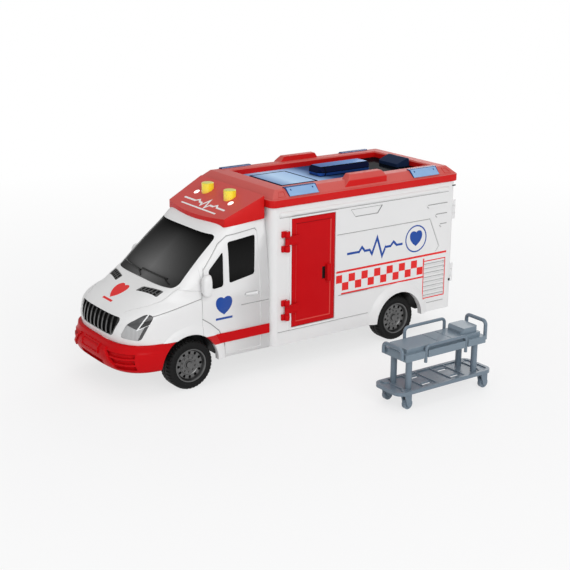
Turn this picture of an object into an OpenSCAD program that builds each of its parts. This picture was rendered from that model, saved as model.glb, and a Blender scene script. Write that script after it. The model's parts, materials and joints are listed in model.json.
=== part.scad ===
// Toy ambulance with opening doors, friction drive, push buttons and a wheeled stretcher.
// The van stands on the ground plane. +X points forwards, +Y to the van's left and +Z up.

/* [Van] */
// Distance between the front and rear axles
wheelbase = 183; // [170:1:190]
// Length of the patient box
box_len = 172.2; // [166:0.2:176]
// Width across the side walls of the patient box
box_w = 97.2; // [94:0.2:104]
// Height of the side walls of the patient box
box_h = 101.8; // [96:0.2:110]
// Length of the box behind the rear axle
rear_overhang = 55; // [50:1:58]
// Height of the lower body edge above the ground
skirt_z = 18; // [16:0.5:19]
// Length of the cab in front of the box
cab_len = 113.5; // [106:0.5:118]
// Width of the cab at the door sills
cab_w = 92; // [90:0.5:96]
// Height of the cab from sill to roof
cab_h = 95.5; // [92:0.5:98]
// Wall thickness of the moulded shells
wall = 2; // [1.6:0.1:2.4]

/* [Wheels] */
// Outside diameter of a tyre
tyre_d = 35; // [33:0.5:36]
// Width of a tyre
tyre_w = 13.5; // [12:0.5:14]
// Outside diameter of a wheel rim
rim_d = 24.2; // [22:0.2:26]
// Diameter of the steel axles
axle_d = 3; // [2.5:0.1:3.4]
// Gap from a tyre to its wheel arch
arch_gap = 4.6; // [4:0.1:5]
// Slots in each wheel rim
rim_slots = 12; // [8:1:14]

/* [Doors] */
// Width of the side door
side_door_w = 39; // [34:0.5:42]
// Height of the side door
side_door_h = 80.5; // [70:0.5:84]
// Height of the side door's lower edge above the ground
side_door_z = 30; // [29.5:0.5:32]
// Thickness of the doors
door_t = 2.2; // [1.8:0.1:2.6]
// Gap round each door
door_gap = 0.4; // [0.3:0.05:0.6]
// Height of a door hinge
hinge_h = 15; // [12:0.5:18]
// Diameter of the hinge pins
hinge_pin_d = 1.6; // [1.2:0.1:2]

/* [Roof] */
// Height of the upright band of the roof
band_h = 5.6; // [4.5:0.1:7]
// Height of the sloped rim above the band
rim_h = 5.7; // [4.5:0.1:7]
// Width of the blue light bar
light_bar_w = 18; // [14:0.5:24]
// Length of the blue light bar
light_bar_len = 50.6; // [40:0.2:60]
// Diameter of the push buttons
button_d = 9; // [7:0.5:10]
// Travel of the push buttons
button_travel = 1; // [0.6:0.1:1.2]

/* [Friction drive] */
// Module of the gear teeth
gear_module = 0.6; // [0.5:0.02:0.62]
// Teeth on the large gears
wheel_teeth = 24; // [20:1:24]
// Teeth on the pinions
pinion_teeth = 8; // [8:1:9]
// Diameter of the flywheel
flywheel_d = 14; // [10:0.5:15]

/* [Stretcher] */
// Length of the stretcher's tray
tray_len = 85; // [76:0.5:92]
// Width of the stretcher's tray
tray_w = 28; // [26:0.5:32]
// Height of the stretcher's bed frame above the ground
bed_z = 33.5; // [30:0.5:38]
// Length of the stretcher's bed
bed_len = 72; // [66:0.5:76]
// Width of the stretcher's bed
bed_w = 24.4; // [23:0.2:28]
// Diameter of the caster wheels
caster_d = 7.2; // [6:0.2:7.6]
// Travel of the drop rails
rail_travel = 6.5; // [4:0.5:6.5]
// Stretcher's middle, ahead of the rear axle
stretcher_x = 50; // [20:1:80]
// Stretcher's middle, to the left of the van's middle
stretcher_y = 146; // [130:1:180]

/* [Hidden] */
$fn = 48;
hull_fn = 24;
loft_steps = 12;

// Fits and cuts
run_clear = 0.05;
seat_clear = 0.1;
body_clear = 0.3;
cut_over = 1;

// Main places, measured from the rear axle over the ground
box_half = box_w / 2;
box_x0 = -rear_overhang;
box_x1 = box_x0 + box_len;
roof_z = skirt_z + box_h;
cab_gap = 0.8;
cab_x0 = box_x1 + cab_gap;
cab_half = cab_w / 2;
cab_top = skirt_z + cab_h;
axle_z = tyre_d / 2;
arch_r = axle_z + arch_gap;

// Wheels and axles
wheel_inset = 2.1;
wheel_face = box_half - wheel_inset;
wheel_inner = wheel_face - tyre_w;
rim_lip = 0.9;
rim_dish = 2.6;
rim_back = 9;
rim_hub_r = 4.4;
rim_web_t = 1.6;
rim_wall = 1.3;
hub_cap_r = 2.6;
hub_cap_h = 0.9;
nut_count = 10;
nut_r = 0.6;
nut_ring_r = 5.3;
slot_ring_r = 8.4;
slot_r = 1;
tyre_round = 2;
tread_count = 30;
tread_w = 0.9;
tread_depth = 0.6;
tread_len = 4.2;

// Chassis
chassis_t = 2.5;
chassis_z = 20.5;
chassis_top = chassis_z + chassis_t;
chassis_half = min(cab_half, box_half) - wall - body_clear;
chassis_nose = 20;
bearing_w = 4;
bearing_y = 25;
bearing_wall = 2.6;
floor_t = 2.5;
floor_top = side_door_z - wall;
floor_z = floor_top - floor_t;
tub_wall = 1.4;
tub_gap = 2.4;
boss_r = 3.2;
boss_y = 22;
boss_rear_in = 15;
boss_front_off = 14;
screw_r = 1.2;
screw_head_r = 2.4;
screw_head_h = 1.6;
screw_len = 6;

// Battery bay under the chassis
cell_d = 10.5;
cell_len = 44.5;
cell_count = 3;
cell_pitch = 12;
cell_nub_r = 1.9;
cell_nub_h = 0.8;
bay_wall = 1.5;
bay_end = 1.5;
bay_play = 0.4;
bay_x = 64;
bay_cover_t = 1.4;
bay_roof = floor_z - body_clear;
bay_top = bay_roof - bay_wall;
cell_z = bay_top - bay_play - cell_d / 2;
bay_z = cell_z - cell_d / 2 - seat_clear - bay_cover_t;
bay_half = cell_pitch * (cell_count - 1) / 2 + cell_d / 2 + bay_end;
bay_x1 = bay_x + cell_len + 2 * bay_end;

// Friction drive behind the rear axle
gear_pressure = 28;
tooth_height_share = 0.8;
tooth_root_share = 1.05;
gear_slack = 0.08;
flank_steps = 4;
gear_pitch = gear_module * (wheel_teeth + pinion_teeth) / 2;
gear_t = 3;
gear_gap = 0.5;
gear_y = -6;
flywheel_t = 4;
shaft_r = 1;
gear_hub_r = 1.8;
gearbox_wall = 1.2;
gearbox_clear = 0.4;
wheel_tip_r = gear_module * (wheel_teeth / 2 + tooth_height_share);
gearbox_r = max(wheel_tip_r, flywheel_d / 2) + gearbox_clear;
gearbox_y0 = gear_y - gear_gap - gearbox_wall;
gearbox_x0 = -2 * gear_pitch - gearbox_r - gearbox_wall;
gearbox_x1 = gearbox_r + gearbox_wall;
gearbox_top = axle_z + gearbox_r + gearbox_wall;

function gear_layer(i) = gear_y + i * (gear_t + gear_gap);
gear_end = gear_layer(2) + flywheel_t;
gearbox_y1 = gear_end + gear_gap + gearbox_wall;
gearbox_lug_l = 4;
gearbox_lug_w = 8;
gearbox_lug_t = 2;

// Side door and its hinges
side_door_back = 16.2;
side_door_x1 = box_x1 - side_door_back;
side_door_x0 = side_door_x1 - side_door_w;
side_door_top = side_door_z + side_door_h;
frame_out = 0.6;
frame_w = 1.5;
door_proud = 0.5;
door_line_in = 3;
door_line_w = 0.7;
door_line_h = 0.3;
knuckle_r = 1.9;
knuckle_gap = 0.25;
knuckle_h_share = 0.3;
knuckle_h = hinge_h * knuckle_h_share;
hinge_off = 5;
hinge_low = 7;
hinge_high = 23;
hinge_x = side_door_x1 + hinge_off;
hinge_y = box_half + frame_out + knuckle_r;
hinge_zs = [side_door_z + hinge_low, side_door_top - hinge_high];
strap_t = 1.6;
strap_reach = 5.4;
handle_w = 7;
handle_h = 13;
handle_out = 2.4;
handle_t = 1.6;
handle_in = 4.5;
handle_up = 30;
handle_x = side_door_x0 + handle_in;
handle_z = side_door_z + handle_up;

// Rear doors
post_w = 5.6;
rear_head_h = 8;
rear_depth = 6;
rear_hinge_x = box_x0 - knuckle_r * 0.7;
rear_hinge_y = box_half - post_w + knuckle_r * 0.8;
rear_hinge_in = 8;
rear_door_z0 = side_door_z + door_gap;
rear_door_z1 = roof_z - rear_head_h - door_gap;
rear_door_edge = box_half - post_w - door_gap;
rear_hinge_zs = [side_door_z + rear_hinge_in, roof_z - rear_head_h - rear_hinge_in - hinge_h];
rear_window_h = 32;
rear_window_in = 7;
rear_window_deep = 0.6;
rear_handle_z = 62;
rear_handle_h = 12;
rear_handle_w = 3;
rear_handle_out = 2;

// Side wall relief
rail_under = 6.2;
rail_z = roof_z - rail_under;
rail_r = 1.1;
rail_end = 9;
vent_in = 9;
vent_x0 = box_x0 + vent_in;
vent_w = 21;
vent_z0 = 30.1;
vent_h = 28.8;
vent_deep = 0.9;
vent_count = 8;
vent_blade_t = 1.6;
capsule_h = 2.6;
capsule_round = 1.2;
capsule_out = 0.5;
capsule_in = 8;
capsule_x0 = box_x0 + capsule_in;
capsule_pitch = 8.1;
capsule_under = 17.5;
capsule_z = roof_z - capsule_under;
capsule_lens = [21, 12.3, 7.7];
recess_x = 33;
recess_w = 29.3;
recess_h = 5.6;
recess_under = 10;
recess_top = roof_z - recess_under;
recess_slant = 4.2;
recess_deep = 0.5;
flare_w = 7;
flare_out = 2.4;
flare_flat = 1.6;
corner_r = 5;

// Lines cut into the side walls and the cab, as shares along and up the piece that carries them
line_w = 0.8;
line_deep = 0.45;
crease_shares = [[0.666, 0.732], [0.149, 0.732], [0.09, 0.509], [0.109, 0.471]];
seam_shares = [[0.655, 0.279], [0.37, 0.279]];
front_skirt_shares = [[0.975, 0.098], [0.49, 0.098]];
rear_skirt_shares = [[0.15, 0.072], [0.05, 0.072]];
cab_door_shares = [[0.066, 0.026], [0.066, 0.9], [0.079, 0.921], [0.273, 0.898], [0.463, 0.675],
    [0.487, 0.476], [0.485, 0.325], [0.427, 0.277], [0.374, 0.225], [0.344, 0.168], [0.33, 0.094],
    [0.335, 0.026], [0.066, 0.026]];
fender_shares = [[0.489, 0.476], [0.82, 0.408]];
cab_seam_shares = [[0.08, 0.374], [0.22, 0.374]];
cab_handle_shares = [0.123, 0.445];
cab_handle_l = 12.5;
cab_handle_h = 3.4;
cab_handle_round = 1.6;

// Roof
band_out = 1.4;
band_in = 1.5;
rim_in = 6;
rim_top_w = 9;
deck_t = 2;
deck_drop = 6.6;
band_z = roof_z + band_h;
rim_z = band_z + rim_h;
insert_t = 2;
insert_z = rim_z - deck_drop;
insert_top = insert_z + insert_t;
rim_x0 = box_x0 - band_out;
rim_x1 = box_x1 + band_out;
rim_half = box_half + band_out;
pit_in = band_in + rim_in + rim_top_w;
pit_front_in = 19.5;
bump_x0 = 13.5;
bump_len = 32.5;
bump_ramp = 8;
bump_w = 7;
bump_out = 3;
bump_h = 4;
bump_slope = 3;
lens_len = 27;
lens_slant = 1;
lens_t = 0.8;
lens_over = 2.4;
lens_lift = 1;
lens_front_in = 15.6;
lens_rear_in = 18.4;
lens_front_x = rim_x1 - lens_front_in;
lens_rear_x = rim_x0 + lens_rear_in;
panel_x0 = 57.5;
panel_len = 33;
panel_w = 43;
panel_t = 1.4;
bar_x0 = -3.6;
bar_belt = 3.2;
bar_h = 7.4;
bar_top_in = 3;
bar_foot_in = 2;
bar_nose = 4;
ac_gap = 0.6;
ac_x0 = rim_x0 + pit_in + ac_gap;
ac_len = 13;
ac_w = 23;
ac_h = 6.4;
ac_front_h = 2.6;
ac_round = 1.6;

// Cab: each level is height, nose, width and corner start as shares, then the corner's squareness
cab_level_shares = [
    [0, 0.978, 1, 0.59, 3.4], [0.204, 0.991, 1, 0.59, 3.4], [0.272, 1, 1, 0.59, 3.4],
    [0.335, 0.991, 1, 0.59, 3.4], [0.377, 0.976, 1, 0.58, 3.5], [0.408, 0.952, 1, 0.56, 3.5],
    [0.44, 0.916, 1, 0.5, 3.3], [0.471, 0.872, 0.998, 0.37, 3.2], [0.503, 0.824, 0.996, 0.3, 3.4],
    [0.534, 0.762, 0.989, 0.28, 4], [0.565, 0.692, 0.983, 0.28, 5], [0.66, 0.601, 0.961, 0.21, 5],
    [0.754, 0.511, 0.939, 0.15, 5], [0.9, 0.37, 0.9, 0.02, 5], [0.942, 0.33, 0.888, 0.02, 5],
    [0.974, 0.286, 0.872, 0.02, 5], [0.995, 0.238, 0.84, 0.02, 5], [1, 0.203, 0.8, 0.02, 5]];
cab_rows = len(cab_level_shares);
screen_rows = [9, 15];
nose_rows = [1, 8];
bonnet_rows = [6, 10];
side_rows = [7, 14];
roof_rows = [13, cab_rows - 1];
nose_wall = 3;
glass_sink = 0.5;
glass_clear = 0.1;
screen_shares = [[0.857, 0.567], [0.783, 0.9]];
screen_round = 3;
pane_round = 1.5;
pane_deep = 14;
door_pane_shares = [[0.293, 0.847], [0.091, 0.874], [0.11, 0.594], [0.297, 0.559]];
quarter_pane_shares = [[0.334, 0.785], [0.441, 0.664], [0.412, 0.535], [0.342, 0.546]];
bumper_h = 19.4;
bumper_z = skirt_z + bumper_h;
front_lip_w = 4;
front_lip_out = 1;

// Grille, lamps and bonnet vents
grille_z_share = 0.268;
grille_z = skirt_z + grille_z_share * cab_h;
grille_h = 10.4;
grille_top_w = 51.6;
grille_foot_w = 42;
grille_round = 3;
grille_slats = 10;
slat_w = 1.7;
grille_rim = 1.1;
grille_sink = 0.6;
grille_back = 2;
lamp_place_shares = [0.89, 0.837, 0.335];
lamp_x = cab_x0 + lamp_place_shares.x * cab_len;
lamp_y = lamp_place_shares.y * cab_half;
lamp_z = skirt_z + lamp_place_shares.z * cab_h;
lamp_w = 21.5;
lamp_h = 17.5;
lamp_turn = 40;
lamp_reach = 16;
lamp_round = 1.6;
lamp_shares = [[-0.53, -0.37], [0.04, -0.51], [0.47, 0.4], [0.23, 0.49], [-0.3, 0.11]];
bonnet_vent_shares = [0.749, 0.587, 0.44];
vent_mid_x = cab_x0 + bonnet_vent_shares.x * cab_len;
vent_mid_y = bonnet_vent_shares.y * cab_half;
vent_low_z = skirt_z + bonnet_vent_shares.z * cab_h;
bonnet_vent_l = 9;
bonnet_vent_w = 15;
bonnet_vent_turn = 14;
bonnet_vent_bars = 5;
bonnet_vent_sink = 1.3;

// Bumper levels: height, nose and width as shares
bumper_level_shares = [[0, 0.9, 0.975], [0.1, 0.955, 0.995], [0.46, 1, 1.008], [0.7, 0.99, 1.008],
    [0.77, 0.955, 1], [1, 0.93, 0.998]];
bumper_start_share = 0.634;
bumper_out = 4.5;
bumper_x0 = cab_x0 + bumper_start_share * cab_len;
bumper_nose = cab_x0 + cab_len + bumper_out - bumper_x0;
bumper_squareness = 3.6;
bumper_wall = 2.4;
plate_w = 20;
plate_h = 8;
plate_up = 8.5;
plate_z = skirt_z + plate_up;
plate_round = 0.8;
fog_y0 = 15;
fog_y1 = 36;
fog_up = 3.6;
fog_z0 = skirt_z + fog_up;
fog_h = 8.4;
fog_deep = 1.5;
fog_slats = 2;
fog_slat_h = 1.2;
fog_skew = 5;
chin_w = 24;
chin_up = 2.6;
chin_h = 3.6;

// Mirrors
mirror_place_shares = [0.4185, 0.497];
mirror_x = cab_x0 + mirror_place_shares.x * cab_len;
mirror_l = 7;
mirror_z = skirt_z + mirror_place_shares.y * cab_h;
mirror_h = 15;
mirror_w = 7.4;
mirror_round = 2.4;
mirror_arm_r = 1.4;
mirror_arm_up = 3;
mirror_foot_share = 0.989;

// Sill stripes on the cab
stripe_up = 11;
stripe_z = skirt_z + stripe_up;
stripe_h = 7;
stripe_t = 0.8;
stripe_slant = 3;

// Fairing over the cab roof
fairing_gap = 0.8;
fairing_x0 = rim_x1 + fairing_gap;
fairing_len = 34.2;
fairing_x1 = fairing_x0 + fairing_len;
fairing_below = 5;
fairing_z0 = cab_top - fairing_below;
fairing_lip = 3.9;
fairing_above = 14.6;
fairing_rear_top = cab_top + fairing_above;
fairing_rear_half = 42;
fairing_front_half = 37.4;
fairing_bow = 4;
fairing_rise = 3.5;
fairing_wall = 1.8;
button_in = 11;
button_x = fairing_x0 + button_in;
button_y = 14.8;
button_above = 15.2;
button_top = cab_top + button_above;
button_boss_wall = 1.6;
button_boss_above = 1;
button_boss_z = cab_top + button_boss_above;
button_flange = 1.2;
button_flange_t = 1.2;
led_in = 15.5;
led_x = fairing_x0 + led_in;
led_y = 22.8;
led_r = 2.2;
led_out = 0.7;
led_len = 4;

// Electronics under the fairing and over the chassis
board_t = 1.2;
board_in = 2.1;
board_x0 = fairing_x0 + board_in;
board_len = 21;
board_w = 56;
switch_h = 2.4;
board_top = button_boss_z - body_clear - button_flange_t - button_travel - body_clear - switch_h;
board_boss_r = 2;
board_boss_x = board_x0 + 1.5 * board_boss_r;
switch_l = 6;
roof_cut_len = 25;
roof_cut_w = 62;
speaker_x = 140;
speaker_r = 14;
speaker_h = 8;
speaker_cone_r = 11;
speaker_cone_h = 2.5;
sound_hole_r = 1.2;
sound_ring_r = 6;
sound_holes = 6;

// Stretcher
tray_z = 11;
tray_rim = 2.6;
tray_round = 6;
tray_deck_t = 1.2;
tray_deck_up = 0.6;
tray_slot_l = 9;
tray_slot_w = 3;
tray_slot_x = 13;
tray_slot_y = 6.5;
tray_rib_w = 1;
tray_rib_h = 0.7;
tray_rib_shares = [-0.4, -0.22, -0.08, 0.08, 0.22, 0.4];
post_r = 2.2;
post_x = 29.6;
post_y = 7.6;
bed_frame_h = 5;
bed_pad_h = 2.8;
bed_pad_in = 2.9;
bed_crease_w = 0.5;
bed_crease_shares = [-0.1, 0.06];
bed_round = 1;
pillow_l = 15;
pillow_w = 15;
pillow_h = 4;
pillow_low = 2;
pillow_end = 4;
rail_bar_r = 1.1;
rail_len = 36;
rail_drop = 11.5;
rail_bend = 3;
rail_in = 1.1;
rail_clear = 0.3;
rail_rest_z = bed_z + bed_frame_h + rail_bend;
handle_bar_r = 1.3;
handle_half = 9.4;
handle_bend = 3;
tall_handle_h = 13;
low_handle_h = 7;
handle_foot = 1.5;
caster_x = 34.5;
caster_y = 10.2;
caster_trail = 2.2;
caster_w = 2.6;
caster_pin_r = 0.7;
caster_stem_r = 1.3;
fork_t = 1;
fork_gap = 0.25;
fork_top_t = 1.2;
fork_tip_r = 1.9;
caster_z = caster_d / 2;
fork_top = tray_z - body_clear;

// The whole set's middle, which the part's frame is centred on
set_x0 = rear_hinge_x - knuckle_r;
set_x1 = bumper_x0 + bumper_nose;
set_y0 = -(cab_half + mirror_w);
set_y1 = stretcher_y + tray_w / 2;
set_mid = [(set_x0 + set_x1) / 2, (set_y0 + set_y1) / 2, 0];

// Frames and plain building shapes
module in_frame() { translate(-set_mid) children(); }

module both_sides() {
    children();
    mirror([0, 1, 0]) children();
}

module block(lo, hi) { translate(lo) cube(hi - lo); }

module side_slab(y0, y1) { translate([0, y1, 0]) rotate([90, 0, 0]) linear_extrude(y1 - y0) children(); }

module cross_slab(x0, x1) { translate([x0, 0, 0]) rotate([90, 0, 90]) linear_extrude(x1 - x0) children(); }

module plan_slab(z0, z1) { translate([0, 0, z0]) linear_extrude(z1 - z0) children(); }

module rod_y(r, y0, y1) { translate([0, y0, 0]) rotate([-90, 0, 0]) cylinder(r = r, h = y1 - y0); }

module rod_z(r, z0, z1) { translate([0, 0, z0]) cylinder(r = r, h = z1 - z0); }

module rounded_rect(lo, hi, r) {
    translate([lo.x + r, lo.y]) square([hi.x - lo.x - 2 * r, hi.y - lo.y]);
    translate([lo.x, lo.y + r]) square([hi.x - lo.x, hi.y - lo.y - 2 * r]);
    for (x = [lo.x + r, hi.x - r], y = [lo.y + r, hi.y - r]) translate([x, y]) circle(r);
}

// A line of even width along points, drawn as one strip for each step
module strips(points, w) {
    for (i = [1 : len(points) - 1]) {
        a = points[i - 1];
        b = points[i];
        d = (b - a) / norm(b - a) * w / 2;
        n = [-d.y, d.x];
        polygon([a - d + n, a - d - n, b + d - n, b + d + n]);
    }
}

module rounded_outline(points, r) { offset(r = r, $fn = hull_fn) offset(delta = -r) polygon(points); }

// A closed loft through outlines of equal length, listed from the lowest up
function loft_faces(rows, cols) = concat(
    [for (r = [0 : rows - 2], c = [0 : cols - 1]) [r * cols + c, r * cols + (c + 1) % cols,
        (r + 1) * cols + (c + 1) % cols]],
    [for (r = [0 : rows - 2], c = [0 : cols - 1]) [r * cols + c, (r + 1) * cols + (c + 1) % cols,
        (r + 1) * cols + c]],
    [[for (c = [cols - 1 : -1 : 0]) c]],
    [[for (c = [0 : cols - 1]) (rows - 1) * cols + c]]);

module loft(outlines) {
    polyhedron([for (o = outlines) each o], loft_faces(len(outlines), len(outlines[0])));
}

// Plan outline with straight sides and a bowed, square-cornered nose
function nose_outline(back, start, nose, half, squareness, z) = concat(
    [[back, half, z]],
    [for (i = [0 : loft_steps]) nose_point(90 - 90 * i / loft_steps, start, nose, half, squareness, z)],
    [for (i = [1 : loft_steps]) nose_point(-90 * i / loft_steps, start, nose, half, squareness, z)],
    [[back, -half, z]]);
function nose_point(t, start, nose, half, squareness, z) = [
    start + (nose - start) * pow(cos(t), 2 / squareness),
    half * sign(t) * pow(abs(sin(t)), 2 / squareness), z];

// The cab's outer form, drawn in by a depth at the nose, the sides and the roof
function cab_level(s, deep, side, roof, back, down) = nose_outline(
    cab_x0 + back, cab_x0 + back + s[3] * cab_len, cab_x0 + s[1] * cab_len - deep,
    cab_half * s[2] - side, s[4], skirt_z + s[0] * (cab_h - roof) - (s[0] == 0 ? down : 0));

module cab_form(deep = 0, side = 0, roof = 0, back = 0, down = 0, rows = [0, cab_rows - 1]) {
    loft([for (i = [rows[0] : rows[1]]) cab_level(cab_level_shares[i], deep, side, roof, back, down)]);
}

// A skin of the cab's form between two depths
module cab_skin(deep, thick, rows) {
    difference() {
        cab_form(deep, deep, 0, 0, 0, rows);
        cab_form(deep + thick, deep + thick, 0, -cut_over, 0, rows);
    }
}

function cab_xz(shares) = [for (s = shares) [cab_x0 + s[0] * cab_len, skirt_z + s[1] * cab_h]];

function wheel_places() = [0, wheelbase];

// Outlines cut into the cab
module screen_outline(grow) {
    low = screen_shares[0];
    high = screen_shares[1];
    half_low = low[0] * cab_half + grow;
    half_high = high[0] * cab_half + grow;
    z_low = skirt_z + low[1] * cab_h - grow;
    z_high = skirt_z + high[1] * cab_h + grow;
    rounded_outline([[-half_low, z_low], [half_low, z_low], [half_high, z_high], [-half_high, z_high]],
        screen_round);
}

module pane_outlines(grow) {
    for (pane = [door_pane_shares, quarter_pane_shares])
        offset(delta = grow) rounded_outline(cab_xz(pane), pane_round);
}

module grille_outline(grow) {
    foot = grille_foot_w / 2 + grow;
    top = grille_top_w / 2 + grow;
    rounded_outline([[-foot, grille_z - grow], [foot, grille_z - grow],
        [top, grille_z + grille_h + grow], [-top, grille_z + grille_h + grow]], grille_round);
}

module lamp_prism(grow) {
    translate([lamp_x, lamp_y, lamp_z]) rotate([0, 0, lamp_turn]) cross_slab(-lamp_reach, lamp_reach)
        offset(delta = grow)
            rounded_outline([for (s = lamp_shares) [s[0] * lamp_w, s[1] * lamp_h]], lamp_round);
}

module bonnet_vent_prism(grow) {
    half = [bonnet_vent_l / 2 + grow, bonnet_vent_w / 2 + grow];
    translate([vent_mid_x, vent_mid_y, 0]) rotate([0, 0, bonnet_vent_turn])
        plan_slab(vent_low_z, cab_top) rounded_rect(-half, half, pane_round);
}

// Chassis with axle bearings, battery bay and drive opening
module chassis() color("dimgray") in_frame() {
    difference() {
        union() {
            block([box_x0 + rear_depth + body_clear, -chassis_half, chassis_z],
                [wheelbase + chassis_nose, chassis_half, chassis_top]);
            block([bay_x - bay_wall, -bay_half - bay_wall, bay_z],
                [bay_x1 + bay_wall, bay_half + bay_wall, bay_roof]);
            for (x = wheel_places(), y = [-bearing_y, bearing_y]) axle_bearing(x, y);
        }
        block([bay_x, -bay_half, bay_z - cut_over], [bay_x1, bay_half, bay_top]);
        block([gearbox_x0 - body_clear, gearbox_y0 - body_clear, chassis_z - cut_over],
            [gearbox_x1 + body_clear, gearbox_y1 + body_clear, chassis_top + cut_over]);
        both_sides() for (x = wheel_places()) translate([x, 0, axle_z])
            rod_y(arch_r, wheel_inner - tub_gap, box_half);
        for (x = wheel_places()) translate([x, 0, axle_z])
            rod_y(axle_d / 2 + run_clear, -box_half, box_half);
        screw_places() rod_z(screw_r + seat_clear, chassis_z - cut_over, chassis_top + cut_over);
        for (i = [0 : sound_holes]) translate([speaker_x, 0, 0])
            rotate([0, 0, 360 * i / sound_holes]) translate([i == 0 ? 0 : sound_ring_r, 0, 0])
                rod_z(sound_hole_r, chassis_z - cut_over, chassis_top + cut_over);
    }
}

module axle_bearing(x, y) {
    half = axle_d / 2 + bearing_wall;
    block([x - half, y - bearing_w / 2, axle_z - half], [x + half, y + bearing_w / 2, chassis_top]);
}

module screw_places() {
    for (x = [box_x0 + boss_rear_in, bay_x - boss_front_off], y = [-boss_y, boss_y])
        translate([x, y, 0]) children();
}

// Load floor with wheel tubs and screw bosses
module load_floor() color("whitesmoke") in_frame() {
    inner = box_half - wall - seat_clear;
    tub_y = wheel_inner - tub_gap;
    difference() {
        union() {
            intersection() {
                plan_slab(floor_z, floor_top) box_plan(wall + seat_clear);
                block([box_x0 + rear_depth, -inner, floor_z], [box_x1, inner, floor_top]);
            }
            both_sides() intersection() {
                translate([0, 0, axle_z]) rod_y(arch_r + tub_wall, tub_y - tub_wall, inner);
                block([box_x0, 0, floor_z], [box_x1, box_half, roof_z]);
            }
            screw_places() rod_z(boss_r, chassis_top, floor_top);
        }
        both_sides() translate([0, 0, axle_z]) rod_y(arch_r, tub_y, box_half);
        screw_places() rod_z(screw_r - seat_clear, chassis_top - cut_over, chassis_z + screw_len);
        block([gearbox_x0 - body_clear, gearbox_y0 - body_clear, floor_z - cut_over],
            [gearbox_x1 + body_clear, gearbox_y1 + body_clear, gearbox_top + body_clear]);
    }
}

// Outline of the box walls seen from above
module box_plan(inset) {
    r = corner_r - inset;
    rounded_rect([box_x0 + inset, -box_half + inset], [box_x1 - inset, box_half - inset], r);
}

module box_walls() {
    difference() {
        plan_slab(skirt_z, roof_z) box_plan(0);
        plan_slab(skirt_z - cut_over, roof_z + cut_over) box_plan(wall);
    }
}

// Left side wall with the door opening, wheel arch and moulded relief
module left_side_panel() color("whitesmoke") in_frame() difference() {
    union() {
        side_wall();
        block([side_door_x0 - frame_w, box_half, side_door_z - frame_w],
            [side_door_x1 + frame_w, box_half + frame_out, side_door_top + frame_w]);
    }
    block([side_door_x0, box_half - 2 * wall, side_door_z],
        [side_door_x1, box_half + 2 * wall, side_door_top]);
}

module right_side_panel() color("whitesmoke") in_frame() mirror([0, 1, 0]) side_wall();

module side_wall() {
    difference() {
        union() {
            intersection() {
                box_walls();
                block([box_x0 + rear_depth, 0, skirt_z], [box_x1 - corner_r, box_half, roof_z]);
            }
            intersection() {
                wheel_flare();
                block([-arch_r - flare_w, 0, skirt_z], [arch_r + flare_w, rim_half + flare_out, roof_z]);
            }
            drip_rail();
            for (i = [0 : len(capsule_lens) - 1])
                side_capsule(capsule_z - i * capsule_pitch, capsule_lens[i]);
        }
        translate([0, 0, axle_z]) rod_y(arch_r, box_half - 2 * wall, rim_half + flare_out + cut_over);
        side_vent_cut();
        side_slab(box_half - recess_deep, box_half + cut_over) polygon([
            [recess_x - recess_w / 2, recess_top], [recess_x + recess_w / 2, recess_top],
            [recess_x + recess_w / 2 - recess_slant, recess_top - recess_h],
            [recess_x - recess_w / 2 + recess_slant, recess_top - recess_h]]);
        side_slab(box_half - line_deep, box_half + cut_over)
            for (line = [crease_shares, seam_shares, front_skirt_shares, rear_skirt_shares])
                strips(wall_xz(line), line_w);
    }
}

function wall_xz(shares) = [for (s = shares) [box_x0 + s[0] * box_len, skirt_z + s[1] * box_h]];

module wheel_flare() {
    translate([0, box_half - wall, axle_z]) rotate([-90, 0, 0]) rotate_extrude() polygon([
        [arch_r - cut_over, 0], [arch_r + flare_w, 0], [arch_r + flare_w, wall],
        [arch_r + flare_w / 2, wall + flare_out * 0.8], [arch_r + flare_flat, wall + flare_out],
        [arch_r - cut_over, wall + flare_out]]);
}

module drip_rail() {
    x0 = box_x0 + rear_depth + rail_r;
    x1 = box_x1 - corner_r - rail_r;
    translate([x0, box_half, rail_z]) rotate([0, 90, 0]) cylinder(r = rail_r, h = x1 - x0);
    for (x = [x0 + rail_r, x1 - rail_end - rail_r]) translate([x, box_half, rail_z])
        rotate([0, 90, 0]) cylinder(r = rail_r * 1.35, h = rail_end);
}

module side_capsule(z, length) {
    side_slab(box_half - wall / 2, box_half + capsule_out)
        rounded_rect([capsule_x0, z - capsule_h / 2], [capsule_x0 + length, z + capsule_h / 2],
            capsule_round);
}

module side_vent_cut() {
    pitch = vent_h / vent_count;
    for (i = [0 : vent_count - 1])
        block([vent_x0, box_half - vent_deep, vent_z0 + i * pitch],
            [vent_x0 + vent_w, box_half + cut_over, vent_z0 + (i + 1) * pitch - vent_blade_t]);
}

// Front wall of the box with its rounded corners
module front_bulkhead() color("whitesmoke") in_frame() difference() {
    intersection() {
        box_walls();
        block([box_x1 - corner_r, -box_half, skirt_z], [box_x1, box_half, roof_z]);
    }
    chassis_slot();
}

// Room for the chassis through the front wall and the cab's back wall
module chassis_slot() {
    half = chassis_half + body_clear;
    block([box_x1 - corner_r, -half, skirt_z - cut_over],
        [cab_x0 + corner_r, half, chassis_top + body_clear]);
}

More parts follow.
